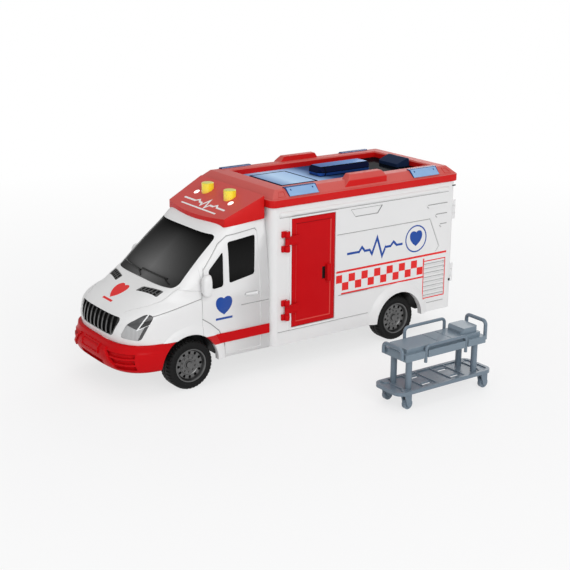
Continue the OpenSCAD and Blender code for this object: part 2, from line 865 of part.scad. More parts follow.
// Rear corner posts, sill and header round the rear doorway, with the fixed hinge knuckles
module rear_frame() color("whitesmoke") in_frame() {
    difference() {
        union() {
            difference() {
                intersection() {
                    plan_slab(skirt_z, roof_z) box_plan(0);
                    block([box_x0, -box_half, skirt_z], [box_x0 + rear_depth, box_half, roof_z]);
                }
                block([box_x0 - cut_over, -box_half + post_w, side_door_z],
                    [box_x0 + rear_depth + cut_over, box_half - post_w, roof_z - rear_head_h]);
            }
            both_sides() for (z = rear_hinge_zs) translate([rear_hinge_x, rear_hinge_y, z]) fixed_knuckles();
        }
        both_sides() for (z = rear_hinge_zs) translate([rear_hinge_x, rear_hinge_y, z]) {
            pin_bore(0);
            barrel_room();
        }
    }
}

// A hinge has two fixed knuckles with the moving barrel between them
module fixed_knuckles() {
    rod_z(knuckle_r, 0, knuckle_h);
    rod_z(knuckle_r, hinge_h - knuckle_h, hinge_h);
}

module moving_barrel() { rod_z(knuckle_r, knuckle_h + knuckle_gap, hinge_h - knuckle_h - knuckle_gap); }

module pin_bore(clear) { rod_z(hinge_pin_d / 2 + clear, -cut_over, hinge_h + cut_over); }

module barrel_room() { rod_z(knuckle_r + body_clear, knuckle_h, hinge_h - knuckle_h); }

module hinge_pins() color("silver") in_frame() {
    for (z = hinge_zs) translate([hinge_x, hinge_y, z]) rod_z(hinge_pin_d / 2, 0, hinge_h);
    both_sides() for (z = rear_hinge_zs) translate([rear_hinge_x, rear_hinge_y, z])
        rod_z(hinge_pin_d / 2, 0, hinge_h);
}

// Fixed hinge brackets of the side door
module side_door_hinges() color("red") in_frame() for (z = hinge_zs) difference() {
    translate([0, 0, z]) for (z0 = [0, hinge_h - knuckle_h]) {
        block([hinge_x - knuckle_r, box_half, z0], [hinge_x + knuckle_r * 2, hinge_y, z0 + knuckle_h]);
        translate([hinge_x, hinge_y, 0]) rod_z(knuckle_r, z0, z0 + knuckle_h);
    }
    translate([hinge_x, hinge_y, z]) pin_bore(0);
}

// Side door with its raised border, straps and pull handle
module side_door() color("red") in_frame() difference() {
    union() {
        block([side_door_x0 + door_gap, box_half + door_proud - door_t, side_door_z + door_gap],
            [side_door_x1 - door_gap, box_half + door_proud, side_door_top - door_gap]);
        door_border();
        for (z = hinge_zs) door_strap(z);
        pull_handle();
    }
    for (z = hinge_zs) translate([hinge_x, hinge_y, z]) pin_bore(run_clear);
}

module door_border() {
    lo = [side_door_x0 + door_line_in, side_door_z + door_line_in];
    hi = [side_door_x1 - door_line_in, side_door_top - door_line_in];
    rim = [door_line_w, door_line_w];
    side_slab(box_half, box_half + door_proud + door_line_h) difference() {
        translate(lo) square(hi - lo);
        translate(lo + rim) square(hi - lo - 2 * rim);
    }
}

module door_strap(z) {
    y0 = box_half + frame_out + body_clear;
    z0 = z + knuckle_h + knuckle_gap;
    z1 = z + hinge_h - knuckle_h - knuckle_gap;
    block([side_door_x1 - strap_reach, y0, z0], [hinge_x, y0 + strap_t, z1]);
    block([side_door_x1 - strap_reach, box_half, z0], [side_door_x1 - door_gap, y0 + strap_t, z1]);
    translate([hinge_x, hinge_y, z]) moving_barrel();
}

module pull_handle() {
    y1 = box_half + door_proud + handle_out;
    difference() {
        block([handle_x, box_half, handle_z], [handle_x + handle_w, y1, handle_z + handle_h]);
        block([handle_x + handle_t, box_half + door_proud, handle_z + handle_t],
            [handle_x + handle_w + cut_over, y1 - handle_t / 2, handle_z + handle_h - handle_t]);
    }
}

// Rear doors with their windows, handles and hinge barrels
module rear_left_door() color("whitesmoke") in_frame() rear_door();

module rear_right_door() color("whitesmoke") in_frame() mirror([0, 1, 0]) rear_door();

module rear_door() {
    y0 = door_gap / 2;
    window_z1 = rear_door_z1 - rear_window_in;
    difference() {
        union() {
            block([box_x0, y0, rear_door_z0], [box_x0 + door_t, rear_door_edge, rear_door_z1]);
            block([box_x0 - rear_handle_out, rear_window_in / 2, rear_handle_z],
                [box_x0 + door_t, rear_window_in / 2 + rear_handle_w, rear_handle_z + rear_handle_h]);
            for (z = rear_hinge_zs) rear_strap(z);
        }
        cross_slab(box_x0 - cut_over, box_x0 + rear_window_deep)
            rounded_rect([rear_window_in, window_z1 - rear_window_h],
                [rear_door_edge - rear_window_in, window_z1], pane_round);
        for (z = rear_hinge_zs) translate([rear_hinge_x, rear_hinge_y, z]) pin_bore(run_clear);
    }
}

module rear_strap(z) {
    x0 = rear_hinge_x - knuckle_r * 0.6;
    z0 = z + knuckle_h + knuckle_gap;
    z1 = z + hinge_h - knuckle_h - knuckle_gap;
    translate([rear_hinge_x, rear_hinge_y, z]) moving_barrel();
    block([x0, rear_door_edge - knuckle_r * 2, z0], [box_x0 + door_t / 2, rear_door_edge, z1]);
    block([x0, rear_door_edge - knuckle_r, z0], [rear_hinge_x, rear_hinge_y, z1]);
}

// Red roof with its upright band, sloped rim, side bumps and sunk deck
module roof_ring() color("red") in_frame() difference() {
    union() {
        plan_slab(roof_z, band_z) rounded_rect([rim_x0, -rim_half], [rim_x1, rim_half], corner_r);
        rim_slopes();
        both_sides() roof_bump();
    }
    block([rim_x0 + pit_in, -rim_half + pit_in, insert_z],
        [rim_x1 - pit_front_in, rim_half - pit_in, rim_z + cut_over]);
    block([box_x0 + wall, -box_half + wall, roof_z - cut_over],
        [box_x1 - wall, box_half - wall, insert_z - deck_t]);
}

module rim_slopes() {
    intersection() {
        side_slab(-rim_half, rim_half) polygon([[rim_x0 + band_in, band_z], [rim_x1 - band_in, band_z],
            [rim_x1 - band_in - rim_in, rim_z], [rim_x0 + band_in + rim_in, rim_z]]);
        cross_slab(rim_x0, rim_x1) polygon([[-rim_half + band_in, band_z], [rim_half - band_in, band_z],
            [rim_half - band_in - rim_in, rim_z], [-rim_half + band_in + rim_in, rim_z]]);
    }
}

module roof_bump() {
    x1 = bump_x0 + bump_len;
    outer = rim_half - bump_out;
    inner = rim_half - band_in - rim_in - bump_w + bump_slope;
    intersection() {
        side_slab(0, rim_half) polygon([[bump_x0, band_z], [x1 + bump_ramp, band_z], [x1, rim_z + bump_h],
            [bump_x0 + bump_slope, rim_z + bump_h], [bump_x0, rim_z]]);
        cross_slab(bump_x0, x1 + bump_ramp) polygon([[inner, band_z], [outer, band_z], [outer, rim_z],
            [outer - bump_slope, rim_z + bump_h], [inner, rim_z + bump_h]]);
    }
}

// Glossy roof insert with its raised front panel
module roof_insert() color("lightsteelblue") in_frame() {
    gap = pit_in + seat_clear;
    block([rim_x0 + gap, -rim_half + gap, insert_z],
        [rim_x1 - pit_front_in - seat_clear, rim_half - gap, insert_top]);
    plan_slab(insert_top, insert_top + panel_t)
        rounded_rect([panel_x0, -panel_w / 2], [panel_x0 + panel_len, panel_w / 2], pane_round);
}

// Six-sided light bar with a belt line and chamfered nose
module light_bar() color("royalblue") in_frame() {
    x1 = bar_x0 + light_bar_len;
    half = light_bar_w / 2;
    belt = insert_top + bar_belt;
    top = insert_top + bar_h;
    intersection() {
        cross_slab(bar_x0, x1) polygon([[-half + bar_foot_in, insert_top], [half - bar_foot_in, insert_top],
            [half, belt], [half - bar_top_in, top], [-half + bar_top_in, top], [-half, belt]]);
        side_slab(-half, half) polygon([[bar_x0 + bar_foot_in, insert_top], [x1 - bar_foot_in, insert_top],
            [x1, belt], [x1 - bar_top_in, top], [bar_x0 + bar_top_in, top], [bar_x0, belt]]);
        plan_slab(insert_top, top) polygon([[bar_x0, -half + bar_nose], [bar_x0 + bar_nose, -half],
            [x1 - bar_nose, -half], [x1, -half + bar_nose], [x1, half - bar_nose], [x1 - bar_nose, half],
            [bar_x0 + bar_nose, half], [bar_x0, half - bar_nose]]);
    }
}

// Roof air unit with a sloped top
module ac_unit() color("midnightblue") in_frame() intersection() {
    side_slab(-ac_w / 2, ac_w / 2) polygon([[ac_x0, insert_top], [ac_x0 + ac_len, insert_top],
        [ac_x0 + ac_len, insert_top + ac_front_h], [ac_x0 + ac_len / 4, insert_top + ac_h],
        [ac_x0 + ac_round, insert_top + ac_h], [ac_x0, insert_top + ac_h - ac_round]]);
    plan_slab(insert_top, insert_top + ac_h)
        rounded_rect([ac_x0, -ac_w / 2], [ac_x0 + ac_len, ac_w / 2], ac_round);
}

// Clear blue lenses on the sloped rim
module roof_lenses() color("lightskyblue", 0.7) in_frame() both_sides()
    for (x = [lens_rear_x, lens_front_x - lens_len]) roof_lens(x);

module roof_lens(x) {
    slope = atan2(rim_h, rim_in);
    foot = [rim_half - band_in, band_z] + lens_lift * [-cos(slope), sin(slope)];
    edge = [rim_half - band_in - rim_in, rim_z];
    gap = seat_clear * [sin(slope), cos(slope)];
    top = (lens_t + seat_clear) * [sin(slope), cos(slope)];
    bend = tan(slope / 2);
    intersection() {
        cross_slab(x, x + lens_len) polygon([foot + gap, edge + seat_clear * [bend, 1],
            edge + [-lens_over, seat_clear], edge + [-lens_over, seat_clear + lens_t],
            edge + (seat_clear + lens_t) * [bend, 1], foot + top]);
        side_slab(0, rim_half) polygon([[x + lens_slant, band_z], [x + lens_len - lens_slant, band_z],
            [x + lens_len, rim_z + 2 * lens_t], [x, rim_z + 2 * lens_t]]);
    }
}

// Cab shell, hollow, with its arches, windows, grille and lamp openings
module cab_shell() color("whitesmoke") in_frame() difference() {
    union() {
        cab_form();
        both_sides() front_lip();
    }
    cab_form(nose_wall, wall, wall, wall, cut_over);
    block([bumper_x0, -cab_w, skirt_z - cut_over], [cab_x0 + 2 * cab_len, cab_w, bumper_z]);
    both_sides() translate([wheelbase, 0, axle_z]) rod_y(arch_r, wheel_inner - tub_gap, cab_w);
    cross_slab(cab_x0, cab_x0 + cab_len) screen_outline(glass_clear);
    both_sides() side_slab(cab_half - pane_deep, cab_w) pane_outlines(glass_clear);
    cross_slab(cab_x0 + cab_len / 2, cab_x0 + 2 * cab_len) grille_outline(glass_clear);
    both_sides() lamp_prism(glass_clear);
    both_sides() bonnet_vent_cut();
    roof_opening(0);
    chassis_slot();
    cab_lines();
}

// Door outline, fender line and door handle recess, cut to an even depth
module cab_lines() {
    handle = cab_xz([cab_handle_shares])[0];
    difference() {
        both_sides() side_slab(cab_half - pane_deep, cab_w) {
            for (line = [cab_door_shares, fender_shares, cab_seam_shares]) strips(cab_xz(line), line_w);
            rounded_rect(handle - [cab_handle_l, cab_handle_h] / 2, handle + [cab_handle_l, cab_handle_h] / 2,
                cab_handle_round);
        }
        cab_form(line_deep, line_deep, 0, -cut_over, cut_over);
    }
}

// Opening in the cab roof under the fairing
module roof_opening(grow) {
    block([fairing_x0 + fairing_wall - grow, -roof_cut_w / 2 - grow, cab_top - fairing_below - cut_over],
        [fairing_x0 + roof_cut_len + grow, roof_cut_w / 2 + grow, cab_top + cut_over]);
}

module front_lip() {
    intersection() {
        translate([wheelbase, cab_half - wall, axle_z]) rotate([-90, 0, 0]) rotate_extrude() polygon([
            [arch_r - cut_over, 0], [arch_r + front_lip_w, 0], [arch_r + front_lip_w, wall],
            [arch_r + front_lip_w / 3, wall + front_lip_out], [arch_r - cut_over, wall + front_lip_out]]);
        block([wheelbase - cab_half, 0, skirt_z], [wheelbase + cab_half, cab_w, cab_top]);
    }
}

module bonnet_vent_cut() {
    difference() {
        bonnet_vent_prism(0);
        bonnet_depth(bonnet_vent_sink);
    }
}

module bonnet_depth(sink) { cab_form(2 * sink, sink, sink, -cut_over, 0, bonnet_rows); }

// Dark windscreen set flush in the cab
module windscreen() color("black") in_frame() intersection() {
    cab_skin(glass_sink, nose_wall - glass_sink, screen_rows);
    cross_slab(cab_x0, cab_x0 + cab_len) screen_outline(0);
}

// Dark side panes set flush in the cab doors
module side_windows() color("black") in_frame() both_sides() intersection() {
    cab_skin(glass_sink / 2, wall - glass_sink / 2, side_rows);
    side_slab(cab_half - pane_deep, cab_w) pane_outlines(0);
}

// Red front bumper with plate recess and fog lamp recesses
function bumper_level(s, deep, over) = nose_outline(
    bumper_x0 - arch_r, bumper_x0, bumper_x0 + bumper_nose * s[1] - deep, cab_half * s[2] - deep,
    bumper_squareness, skirt_z + s[0] * (bumper_h - seat_clear) + (s[0] == 0 ? -over : s[0] == 1 ? over : 0));

module bumper_form(deep, over) { loft([for (s = bumper_level_shares) bumper_level(s, deep, over)]); }

module bumper() color("red") in_frame() difference() {
    bumper_form(0, 0);
    bumper_form(bumper_wall, cut_over);
    block([bumper_x0 - 2 * arch_r, -cab_w, 0], [bumper_x0, cab_w, cab_top]);
    both_sides() translate([wheelbase, 0, axle_z]) rod_y(arch_r, wheel_inner - tub_gap, cab_w);
    difference() {
        union() {
            cross_slab(bumper_x0, bumper_x0 + 2 * bumper_nose) {
                rounded_rect([-chin_w / 2, skirt_z + chin_up], [chin_w / 2, skirt_z + chin_up + chin_h],
                    plate_round);
                rounded_rect([-plate_w / 2, plate_z], [plate_w / 2, plate_z + plate_h], plate_round);
            }
            both_sides() fog_cut();
        }
        bumper_form(fog_deep, 0);
    }
}

module fog_cut() {
    pitch = fog_h / (fog_slats + 1);
    for (i = [0 : fog_slats]) cross_slab(bumper_x0 + bumper_nose / 4, bumper_x0 + 2 * bumper_nose) polygon([
        [fog_y0 + fog_skew * i / fog_slats, fog_z0 + i * pitch], [fog_y1, fog_z0 + i * pitch],
        [fog_y1, fog_z0 + (i + 1) * pitch - fog_slat_h],
        [fog_y0 + fog_skew * i / fog_slats, fog_z0 + (i + 1) * pitch - fog_slat_h]]);
}

// Black grille with upright slats
module grille() color("black") in_frame() {
    intersection() {
        cab_skin(grille_sink, grille_back, nose_rows);
        cross_slab(cab_x0 + cab_len / 2, cab_x0 + 2 * cab_len) intersection() {
            grille_outline(0);
            union() {
                difference() {
                    grille_outline(0);
                    grille_outline(-grille_rim);
                }
                for (i = [0.5 : grille_slats])
                    translate([(i / grille_slats - 0.5) * grille_top_w - slat_w / 2, grille_z])
                        square([slat_w, grille_h]);
            }
        }
    }
    intersection() {
        cab_skin(grille_sink + grille_back * 0.9, grille_back, nose_rows);
        cross_slab(cab_x0 + cab_len / 2, cab_x0 + 2 * cab_len) grille_outline(0);
    }
}

// Clear headlight lenses let into the cab's corners
module headlights() color("lightgray", 0.8) in_frame() both_sides() intersection() {
    cab_skin(glass_sink / 2, nose_wall - glass_sink, nose_rows);
    lamp_prism(0);
}

// Door mirrors on short arms
module mirrors() color("whitesmoke") in_frame() both_sides() {
    y0 = cab_half + body_clear;
    y1 = cab_half + mirror_w;
    lo = [mirror_x, mirror_z];
    hi = lo + [mirror_l, mirror_h];
    intersection() {
        side_slab(y0, y1) rounded_rect(lo, hi, mirror_round);
        plan_slab(lo.y, hi.y) rounded_rect([lo.x, y0], [hi.x, y1], mirror_round);
        cross_slab(lo.x, hi.x) rounded_rect([y0, lo.y], [y1, hi.y], mirror_round);
    }
    translate([mirror_x + mirror_l / 2, 0, mirror_z + mirror_arm_up])
        rod_y(mirror_arm_r, cab_half * mirror_foot_share, y0 + mirror_round);
}

// Louvred bonnet vents
module bonnet_vents() color("black") in_frame() both_sides() difference() {
    intersection() {
        bonnet_vent_prism(-glass_clear);
        difference() {
            bonnet_depth(glass_sink / 2);
            bonnet_depth(bonnet_vent_sink - seat_clear);
        }
    }
    difference() {
        translate([vent_mid_x, vent_mid_y, 0]) rotate([0, 0, bonnet_vent_turn])
            for (i = [1 : bonnet_vent_bars])
                translate([0, (i / (bonnet_vent_bars + 1) - 0.5) * bonnet_vent_w, 0])
                    block([-bonnet_vent_l * 0.4, -slat_w / 2, vent_low_z],
                        [bonnet_vent_l * 0.4, slat_w / 2, cab_top]);
        bonnet_depth(bonnet_vent_sink * 0.6);
    }
}

// Raised red stripes along the cab sills
module sill_stripes() color("red") in_frame() both_sides() {
    x1 = wheelbase - sqrt(pow(arch_r + front_lip_w, 2) - pow(stripe_z - axle_z, 2)) - body_clear;
    side_slab(cab_half, cab_half + stripe_t) polygon([[cab_x0, stripe_z], [x1, stripe_z],
        [x1 + stripe_slant, stripe_z + stripe_h], [cab_x0, stripe_z + stripe_h]]);
}

// Red fairing with button guides
module fairing_block(inset) {
    x0 = fairing_x0 + inset;
    x1 = fairing_x1 - inset;
    low = fairing_z0 - cut_over * sign(inset);
    intersection() {
        side_slab(-cab_w, cab_w) polygon([[x0, low + fairing_rise], [x1 - fairing_lip, low], [x1, low],
            [x1, fairing_z0 + fairing_lip - inset], [x0, fairing_rear_top - inset * 1.1]]);
        plan_slab(low, fairing_rear_top) intersection() {
            polygon([[x0, inset - fairing_rear_half], [x1 - fairing_bow, inset - fairing_front_half],
                [x1 + fairing_bow, inset - fairing_front_half],
                [x1 + fairing_bow, fairing_front_half - inset],
                [x1 - fairing_bow, fairing_front_half - inset], [x0, fairing_rear_half - inset]]);
            translate([x1 - fairing_bow_r(), 0]) circle(fairing_bow_r());
        }
    }
}

function fairing_bow_r() = (pow(fairing_front_half, 2) + pow(fairing_bow, 2)) / (2 * fairing_bow);

module fairing() color("red") in_frame() difference() {
    union() {
        difference() {
            fairing_block(0);
            fairing_block(fairing_wall);
        }
        intersection() {
            fairing_block(0);
            for (y = [-button_y, button_y]) translate([button_x, y, 0])
                rod_z(button_d / 2 + run_clear + button_boss_wall, button_boss_z, fairing_rear_top);
        }
        for (y = [-led_y, led_y]) translate([board_boss_x, y, 0])
            rod_z(board_boss_r, board_top, fairing_surface(board_boss_x + board_boss_r) - seat_clear);
    }
    for (y = [-button_y, button_y]) translate([button_x, y, 0])
        rod_z(button_d / 2 + run_clear, fairing_z0, button_top);
    for (y = [-led_y, led_y]) led_place(y) rod_z(led_r + seat_clear, -2 * led_len, led_len);
    difference() {
        cab_form(-seat_clear, -seat_clear, -seat_clear, -cut_over, 0, roof_rows);
        roof_opening(-body_clear);
    }
}

function fairing_slope() = atan2(fairing_rear_top - fairing_z0 - fairing_lip, fairing_len);
function fairing_surface(x) = fairing_rear_top - (x - fairing_x0) * tan(fairing_slope());

module led_place(y) {
    translate([led_x, y, fairing_surface(led_x)]) rotate([0, fairing_slope(), 0]) children();
}

module led_lenses() color("white") in_frame() for (y = [-led_y, led_y]) led_place(y) {
    rod_z(led_r, -led_len, 0);
    intersection() {
        rod_z(led_r, -seat_clear, led_r);
        translate([0, 0, led_out - led_r * 1.5]) sphere(led_r * 1.5);
    }
}

// Translucent push buttons with a retaining flange
module button_left() color("gold", 0.85) in_frame() push_button(button_y);

module button_right() color("gold", 0.85) in_frame() push_button(-button_y);

module push_button(y) {
    flange_top = button_boss_z - body_clear;
    translate([button_x, y, 0]) {
        rod_z(button_d / 2, flange_top - button_flange_t, button_top);
        rod_z(button_d / 2 + button_flange, flange_top - button_flange_t, flange_top);
    }
}

// Wheel sets
module front_axle() color("silver") in_frame() axle(wheelbase);

module rear_axle() color("silver") in_frame() axle(0);

module axle(x) { translate([x, 0, axle_z]) rod_y(axle_d / 2, -wheel_face + rim_dish, wheel_face - rim_dish); }

module front_rims() color("gray") in_frame() both_sides() translate([wheelbase, 0, axle_z]) rim();

module rear_rims() color("gray") in_frame() both_sides() translate([0, 0, axle_z]) rim();

module rim() {
    rim_r = rim_d / 2;
    web = wheel_face - rim_dish;
    difference() {
        translate([0, wheel_face, 0]) rotate([90, 0, 0]) union() {
            rotate_extrude() polygon([
                [rim_r - rim_wall, 0], [rim_r, 0], [rim_r, rim_back], [rim_r - rim_wall, rim_back],
                [rim_r - rim_wall - rim_lip, rim_dish + rim_web_t], [rim_hub_r, rim_dish + rim_web_t],
                [rim_hub_r, rim_back], [0, rim_back], [0, rim_dish - hub_cap_h],
                [hub_cap_r, rim_dish - hub_cap_h], [rim_hub_r, rim_dish],
                [rim_r - rim_wall - rim_lip, rim_dish]]);
            for (i = [0 : nut_count - 1]) rotate([0, 0, 360 * i / nut_count])
                translate([nut_ring_r, 0, rim_dish - nut_r]) cylinder(r = nut_r, h = 2 * nut_r);
        }
        for (i = [0 : rim_slots - 1]) rotate([0, 360 * i / rim_slots, 0])
            translate([slot_ring_r, 0, 0]) rod_y(slot_r, web - 2 * rim_web_t, wheel_face);
        rod_y(axle_d / 2, 0, web);
    }
}

module front_tyres() color("black") in_frame() both_sides() translate([wheelbase, 0, axle_z]) tyre();

module rear_tyres() color("black") in_frame() both_sides() translate([0, 0, axle_z]) tyre();

module tyre() {
    r = tyre_d / 2;
    difference() {
        translate([0, wheel_inner, 0]) rotate([-90, 0, 0]) rotate_extrude()
            rounded_rect([rim_d / 2, 0], [r, tyre_w], tyre_round);
        for (i = [0 : tread_count - 1]) rotate([0, 360 * i / tread_count, 0])
            translate([r - tread_depth, wheel_inner - cut_over, -tread_w / 2])
                cube([2 * tread_depth, tread_len + cut_over, tread_w]);
    }
}

// Involute teeth, so that the friction drive's gears roll on each other
function involute(a) = tan(a) - a * PI / 180;
function tooth_half_angle(teeth, r) = let (
    base = gear_module * teeth / 2 * cos(gear_pressure),
    a = r > base ? acos(base / r) : 0)
    90 / teeth + (involute(gear_pressure) - involute(a)) * 180 / PI
        - gear_slack / (gear_module * teeth / 2) * 180 / PI;
function gear_outline(teeth) = let (
    pitch_r = gear_module * teeth / 2,
    root = pitch_r - gear_module * tooth_root_share,
    low = max(root, pitch_r * cos(gear_pressure)),
    tip = pitch_r + gear_module * tooth_height_share)
    [for (t = [0 : teeth - 1]) each concat(
        [[root, 360 * t / teeth - tooth_half_angle(teeth, low)]],
        [for (i = [0 : flank_steps]) let (r = low + (tip - low) * i / flank_steps)
            [r, 360 * t / teeth - tooth_half_angle(teeth, r)]],
        [for (i = [flank_steps : -1 : 0]) let (r = low + (tip - low) * i / flank_steps)
            [r, 360 * t / teeth + tooth_half_angle(teeth, r)]],
        [[root, 360 * t / teeth + tooth_half_angle(teeth, low)]])];

module gear(teeth, turn, thick) {
    rotate([-90, 0, 0]) rotate([0, 0, turn]) linear_extrude(thick)
        polygon([for (p = gear_outline(teeth)) p[0] * [cos(p[1]), sin(p[1])]]);
}

// Large gear pressed on the rear axle
module drive_gear() color("ivory") in_frame() translate([0, gear_layer(0), axle_z]) difference() {
    gear(wheel_teeth, 0, gear_t);
    rod_y(axle_d / 2, -cut_over, gear_t + cut_over);
}

// Idler with a pinion and a large gear on one hub
module idler_gear() color("ivory") in_frame() translate([-gear_pitch, 0, axle_z]) difference() {
    union() {
        translate([0, gear_layer(0), 0]) gear(pinion_teeth, 180 / pinion_teeth, gear_t);
        translate([0, gear_layer(1), 0]) gear(wheel_teeth, 0, gear_t);
        rod_y(gear_hub_r, gear_layer(0), gear_end);
    }
    rod_y(shaft_r + run_clear, gear_layer(0) - cut_over, gear_end + cut_over);
}

// Steel flywheel with its pinion
module flywheel() color("silver") in_frame() translate([-2 * gear_pitch, 0, axle_z]) difference() {
    union() {
        translate([0, gear_layer(1), 0]) gear(pinion_teeth, 180 / pinion_teeth, gear_t);
        rod_y(gear_hub_r, gear_layer(0), gear_layer(2));
        rod_y(flywheel_d / 2, gear_layer(2), gear_end);
    }
    rod_y(shaft_r + run_clear, gear_layer(0) - cut_over, gear_end + cut_over);
}

// Gearbox housing, open at one side, and its cover
module gearbox_outline(grow) {
    r = gearbox_r + grow;
    translate([gearbox_x0 + gearbox_wall - grow, axle_z - r])
        square([gearbox_x1 - gearbox_x0 - 2 * gearbox_wall + 2 * grow, 2 * r]);
}

module gearbox() color("dimgray") in_frame() difference() {
    union() {
        side_slab(gearbox_y0, gearbox_y1 - gearbox_wall) gearbox_outline(gearbox_wall);
        block([gearbox_x0 - gearbox_lug_l, -gearbox_lug_w / 2, chassis_top],
            [gearbox_x1 + gearbox_lug_l, gearbox_lug_w / 2, chassis_top + gearbox_lug_t]);
    }
    side_slab(gearbox_y0 + gearbox_wall, gearbox_y1) gearbox_outline(0);
    translate([0, 0, axle_z]) rod_y(axle_d / 2 + run_clear, -box_half, box_half);
    for (i = [1, 2]) translate([-i * gear_pitch, 0, axle_z]) rod_y(shaft_r, gearbox_y0 - cut_over, 0);
}

module gearbox_cover() color("dimgray") in_frame() difference() {
    side_slab(gearbox_y1 - gearbox_wall, gearbox_y1) gearbox_outline(gearbox_wall);
    translate([0, 0, axle_z]) rod_y(axle_d / 2 + run_clear, -box_half, box_half);
    for (i = [1, 2]) translate([-i * gear_pitch, 0, axle_z]) rod_y(shaft_r, 0, gearbox_y1 + cut_over);
}

module gear_shafts() color("silver") in_frame() for (i = [1, 2])
    translate([-i * gear_pitch, 0, axle_z]) rod_y(shaft_r, gearbox_y0, gearbox_y1);

// Circuit board with two switches under the buttons
module circuit_board() color("green") in_frame() {
    block([board_x0, -board_w / 2, board_top - board_t], [board_x0 + board_len, board_w / 2, board_top]);
    for (y = [-button_y, button_y]) block([button_x - switch_l / 2, y - switch_l / 2, board_top],
        [button_x + switch_l / 2, y + switch_l / 2, board_top + switch_h]);
}

// Loudspeaker over the chassis sound holes
module speaker() color("black") in_frame() translate([speaker_x, 0, chassis_top]) difference() {
    rod_z(speaker_r, 0, speaker_h);
    translate([0, 0, -cut_over])
        cylinder(r1 = speaker_cone_r, r2 = speaker_cone_r / 2, h = speaker_cone_h + cut_over);
}

// Three dry cells in the battery bay
module battery_cells() color("darkgreen") in_frame() for (i = [0 : cell_count - 1])
    translate([bay_x + bay_end, (i - (cell_count - 1) / 2) * cell_pitch, cell_z])
        rotate([0, 90, 0]) union() {
            cylinder(r = cell_d / 2, h = cell_len - cell_nub_h);
            cylinder(r = cell_nub_r, h = cell_len);
        }

module battery_cover() color("dimgray") in_frame()
    block([bay_x + seat_clear, seat_clear - bay_half, bay_z],
        [bay_x1 - seat_clear, bay_half - seat_clear, bay_z + bay_cover_t]);

// Pan head screws that hold the floor to the chassis
module screws() color("silver") in_frame() screw_places() difference() {
    union() {
        rod_z(screw_head_r, chassis_z - screw_head_h, chassis_z);
        rod_z(screw_r - 2 * seat_clear, chassis_z - seat_clear, chassis_z + screw_len - seat_clear);
    }
    for (a = [0, 90]) rotate([0, 0, a]) translate([0, 0, chassis_z - screw_head_h])
        cube([screw_head_r, screw_r / 3, screw_head_h], center = true);
}

// Stretcher, drawn about its own middle
module at_stretcher() { in_frame() translate([stretcher_x, stretcher_y, 0]) children(); }

module stretcher_tray() color("slategray") at_stretcher() difference() {
    deck = tray_z + tray_deck_up;
    union() {
        difference() {
            plan_slab(tray_z, tray_z + tray_rim) tray_plan(0);
            plan_slab(tray_z - cut_over, tray_z + tray_rim + cut_over) tray_plan(tray_rim);
        }
        plan_slab(deck, deck + tray_deck_t) tray_plan(tray_rim / 2);
        for (s = tray_rib_shares) translate([s * tray_len, 0, deck])
            block([-tray_rib_w / 2, -tray_w / 2 + tray_rim / 2, 0],
                [tray_rib_w / 2, tray_w / 2 - tray_rim / 2, tray_deck_t + tray_rib_h]);
        caster_places() rod_z(caster_stem_r * 2, tray_z, tray_z + tray_rim);
    }
    for (x = [-tray_slot_x, tray_slot_x], y = [-tray_slot_y, tray_slot_y]) translate([x, y, 0])
        block([-tray_slot_l / 2, -tray_slot_w / 2, tray_z],
            [tray_slot_l / 2, tray_slot_w / 2, tray_z + tray_rim]);
    caster_places() rod_z(caster_stem_r + run_clear, tray_z - cut_over, tray_z + tray_rim + cut_over);
}

module tray_plan(inset) {
    rounded_rect([-tray_len / 2 + inset, -tray_w / 2 + inset], [tray_len / 2 - inset, tray_w / 2 - inset],
        tray_round - inset);
}

function caster_spots() = [for (x = [-caster_x, caster_x], y = [-caster_y, caster_y]) [x, y, 0]];

module caster_places() { for (p = caster_spots()) translate(p) children(); }

module stretcher_posts() color("slategray") at_stretcher()
    for (x = [-post_x, post_x], y = [-post_y, post_y]) translate([x, y, 0])
        rod_z(post_r, tray_z + tray_deck_up + tray_deck_t, bed_z);

module stretcher_bed() color("slategray") at_stretcher() difference() {
    union() {
        plan_slab(bed_z, bed_z + bed_frame_h) bed_plan(0);
        plan_slab(bed_z, bed_z + bed_frame_h + bed_pad_h) bed_plan(bed_pad_in);
        bed_pillow();
    }
    for (s = bed_crease_shares) translate([s * bed_len, 0, bed_z + bed_frame_h + bed_pad_h])
        cube([bed_crease_w, bed_w, bed_crease_w * 2], center = true);
    for (x = [-rail_len / 2, rail_len / 2]) both_sides()
        block([x - rail_bar_r - rail_clear, bed_w / 2 - rail_in - rail_bar_r - rail_clear, bed_z - cut_over],
            [x + rail_bar_r + rail_clear, bed_w, bed_z + bed_frame_h + cut_over]);
}

module bed_plan(inset) {
    half = [bed_len / 2 - inset, bed_w / 2 - inset];
    rounded_rect(-half, half, bed_round);
}

module bed_pillow() {
    x0 = -bed_len / 2 + pillow_end;
    x1 = x0 + pillow_l;
    top = bed_z + bed_frame_h + bed_pad_h;
    intersection() {
        side_slab(-pillow_w / 2, pillow_w / 2) polygon([[x0, top - bed_pad_h], [x1, top - bed_pad_h],
            [x1, top + pillow_low], [x1 - pillow_low, top + pillow_h], [x0, top + pillow_h]]);
        plan_slab(bed_z, top + pillow_h)
            rounded_rect([x0, -pillow_w / 2], [x1, pillow_w / 2], pillow_low);
    }
}

// A bent bar: two upright legs joined by a cross bar with rounded corners, in the XZ plane
module bent_bar(length, height, r, bend) {
    for (side = [-1, 1]) {
        translate([side * length / 2, 0, 0]) rod_z(r, -height, -bend);
        translate([side * (length / 2 - bend), 0, -bend]) rotate([90, 0, 0]) rotate([0, 0, side > 0 ? 0 : 90])
            rotate_extrude(angle = 90) translate([bend, 0]) circle(r);
    }
    translate([-length / 2 + bend, 0, 0]) rotate([0, 90, 0]) cylinder(r = r, h = length - 2 * bend);
}

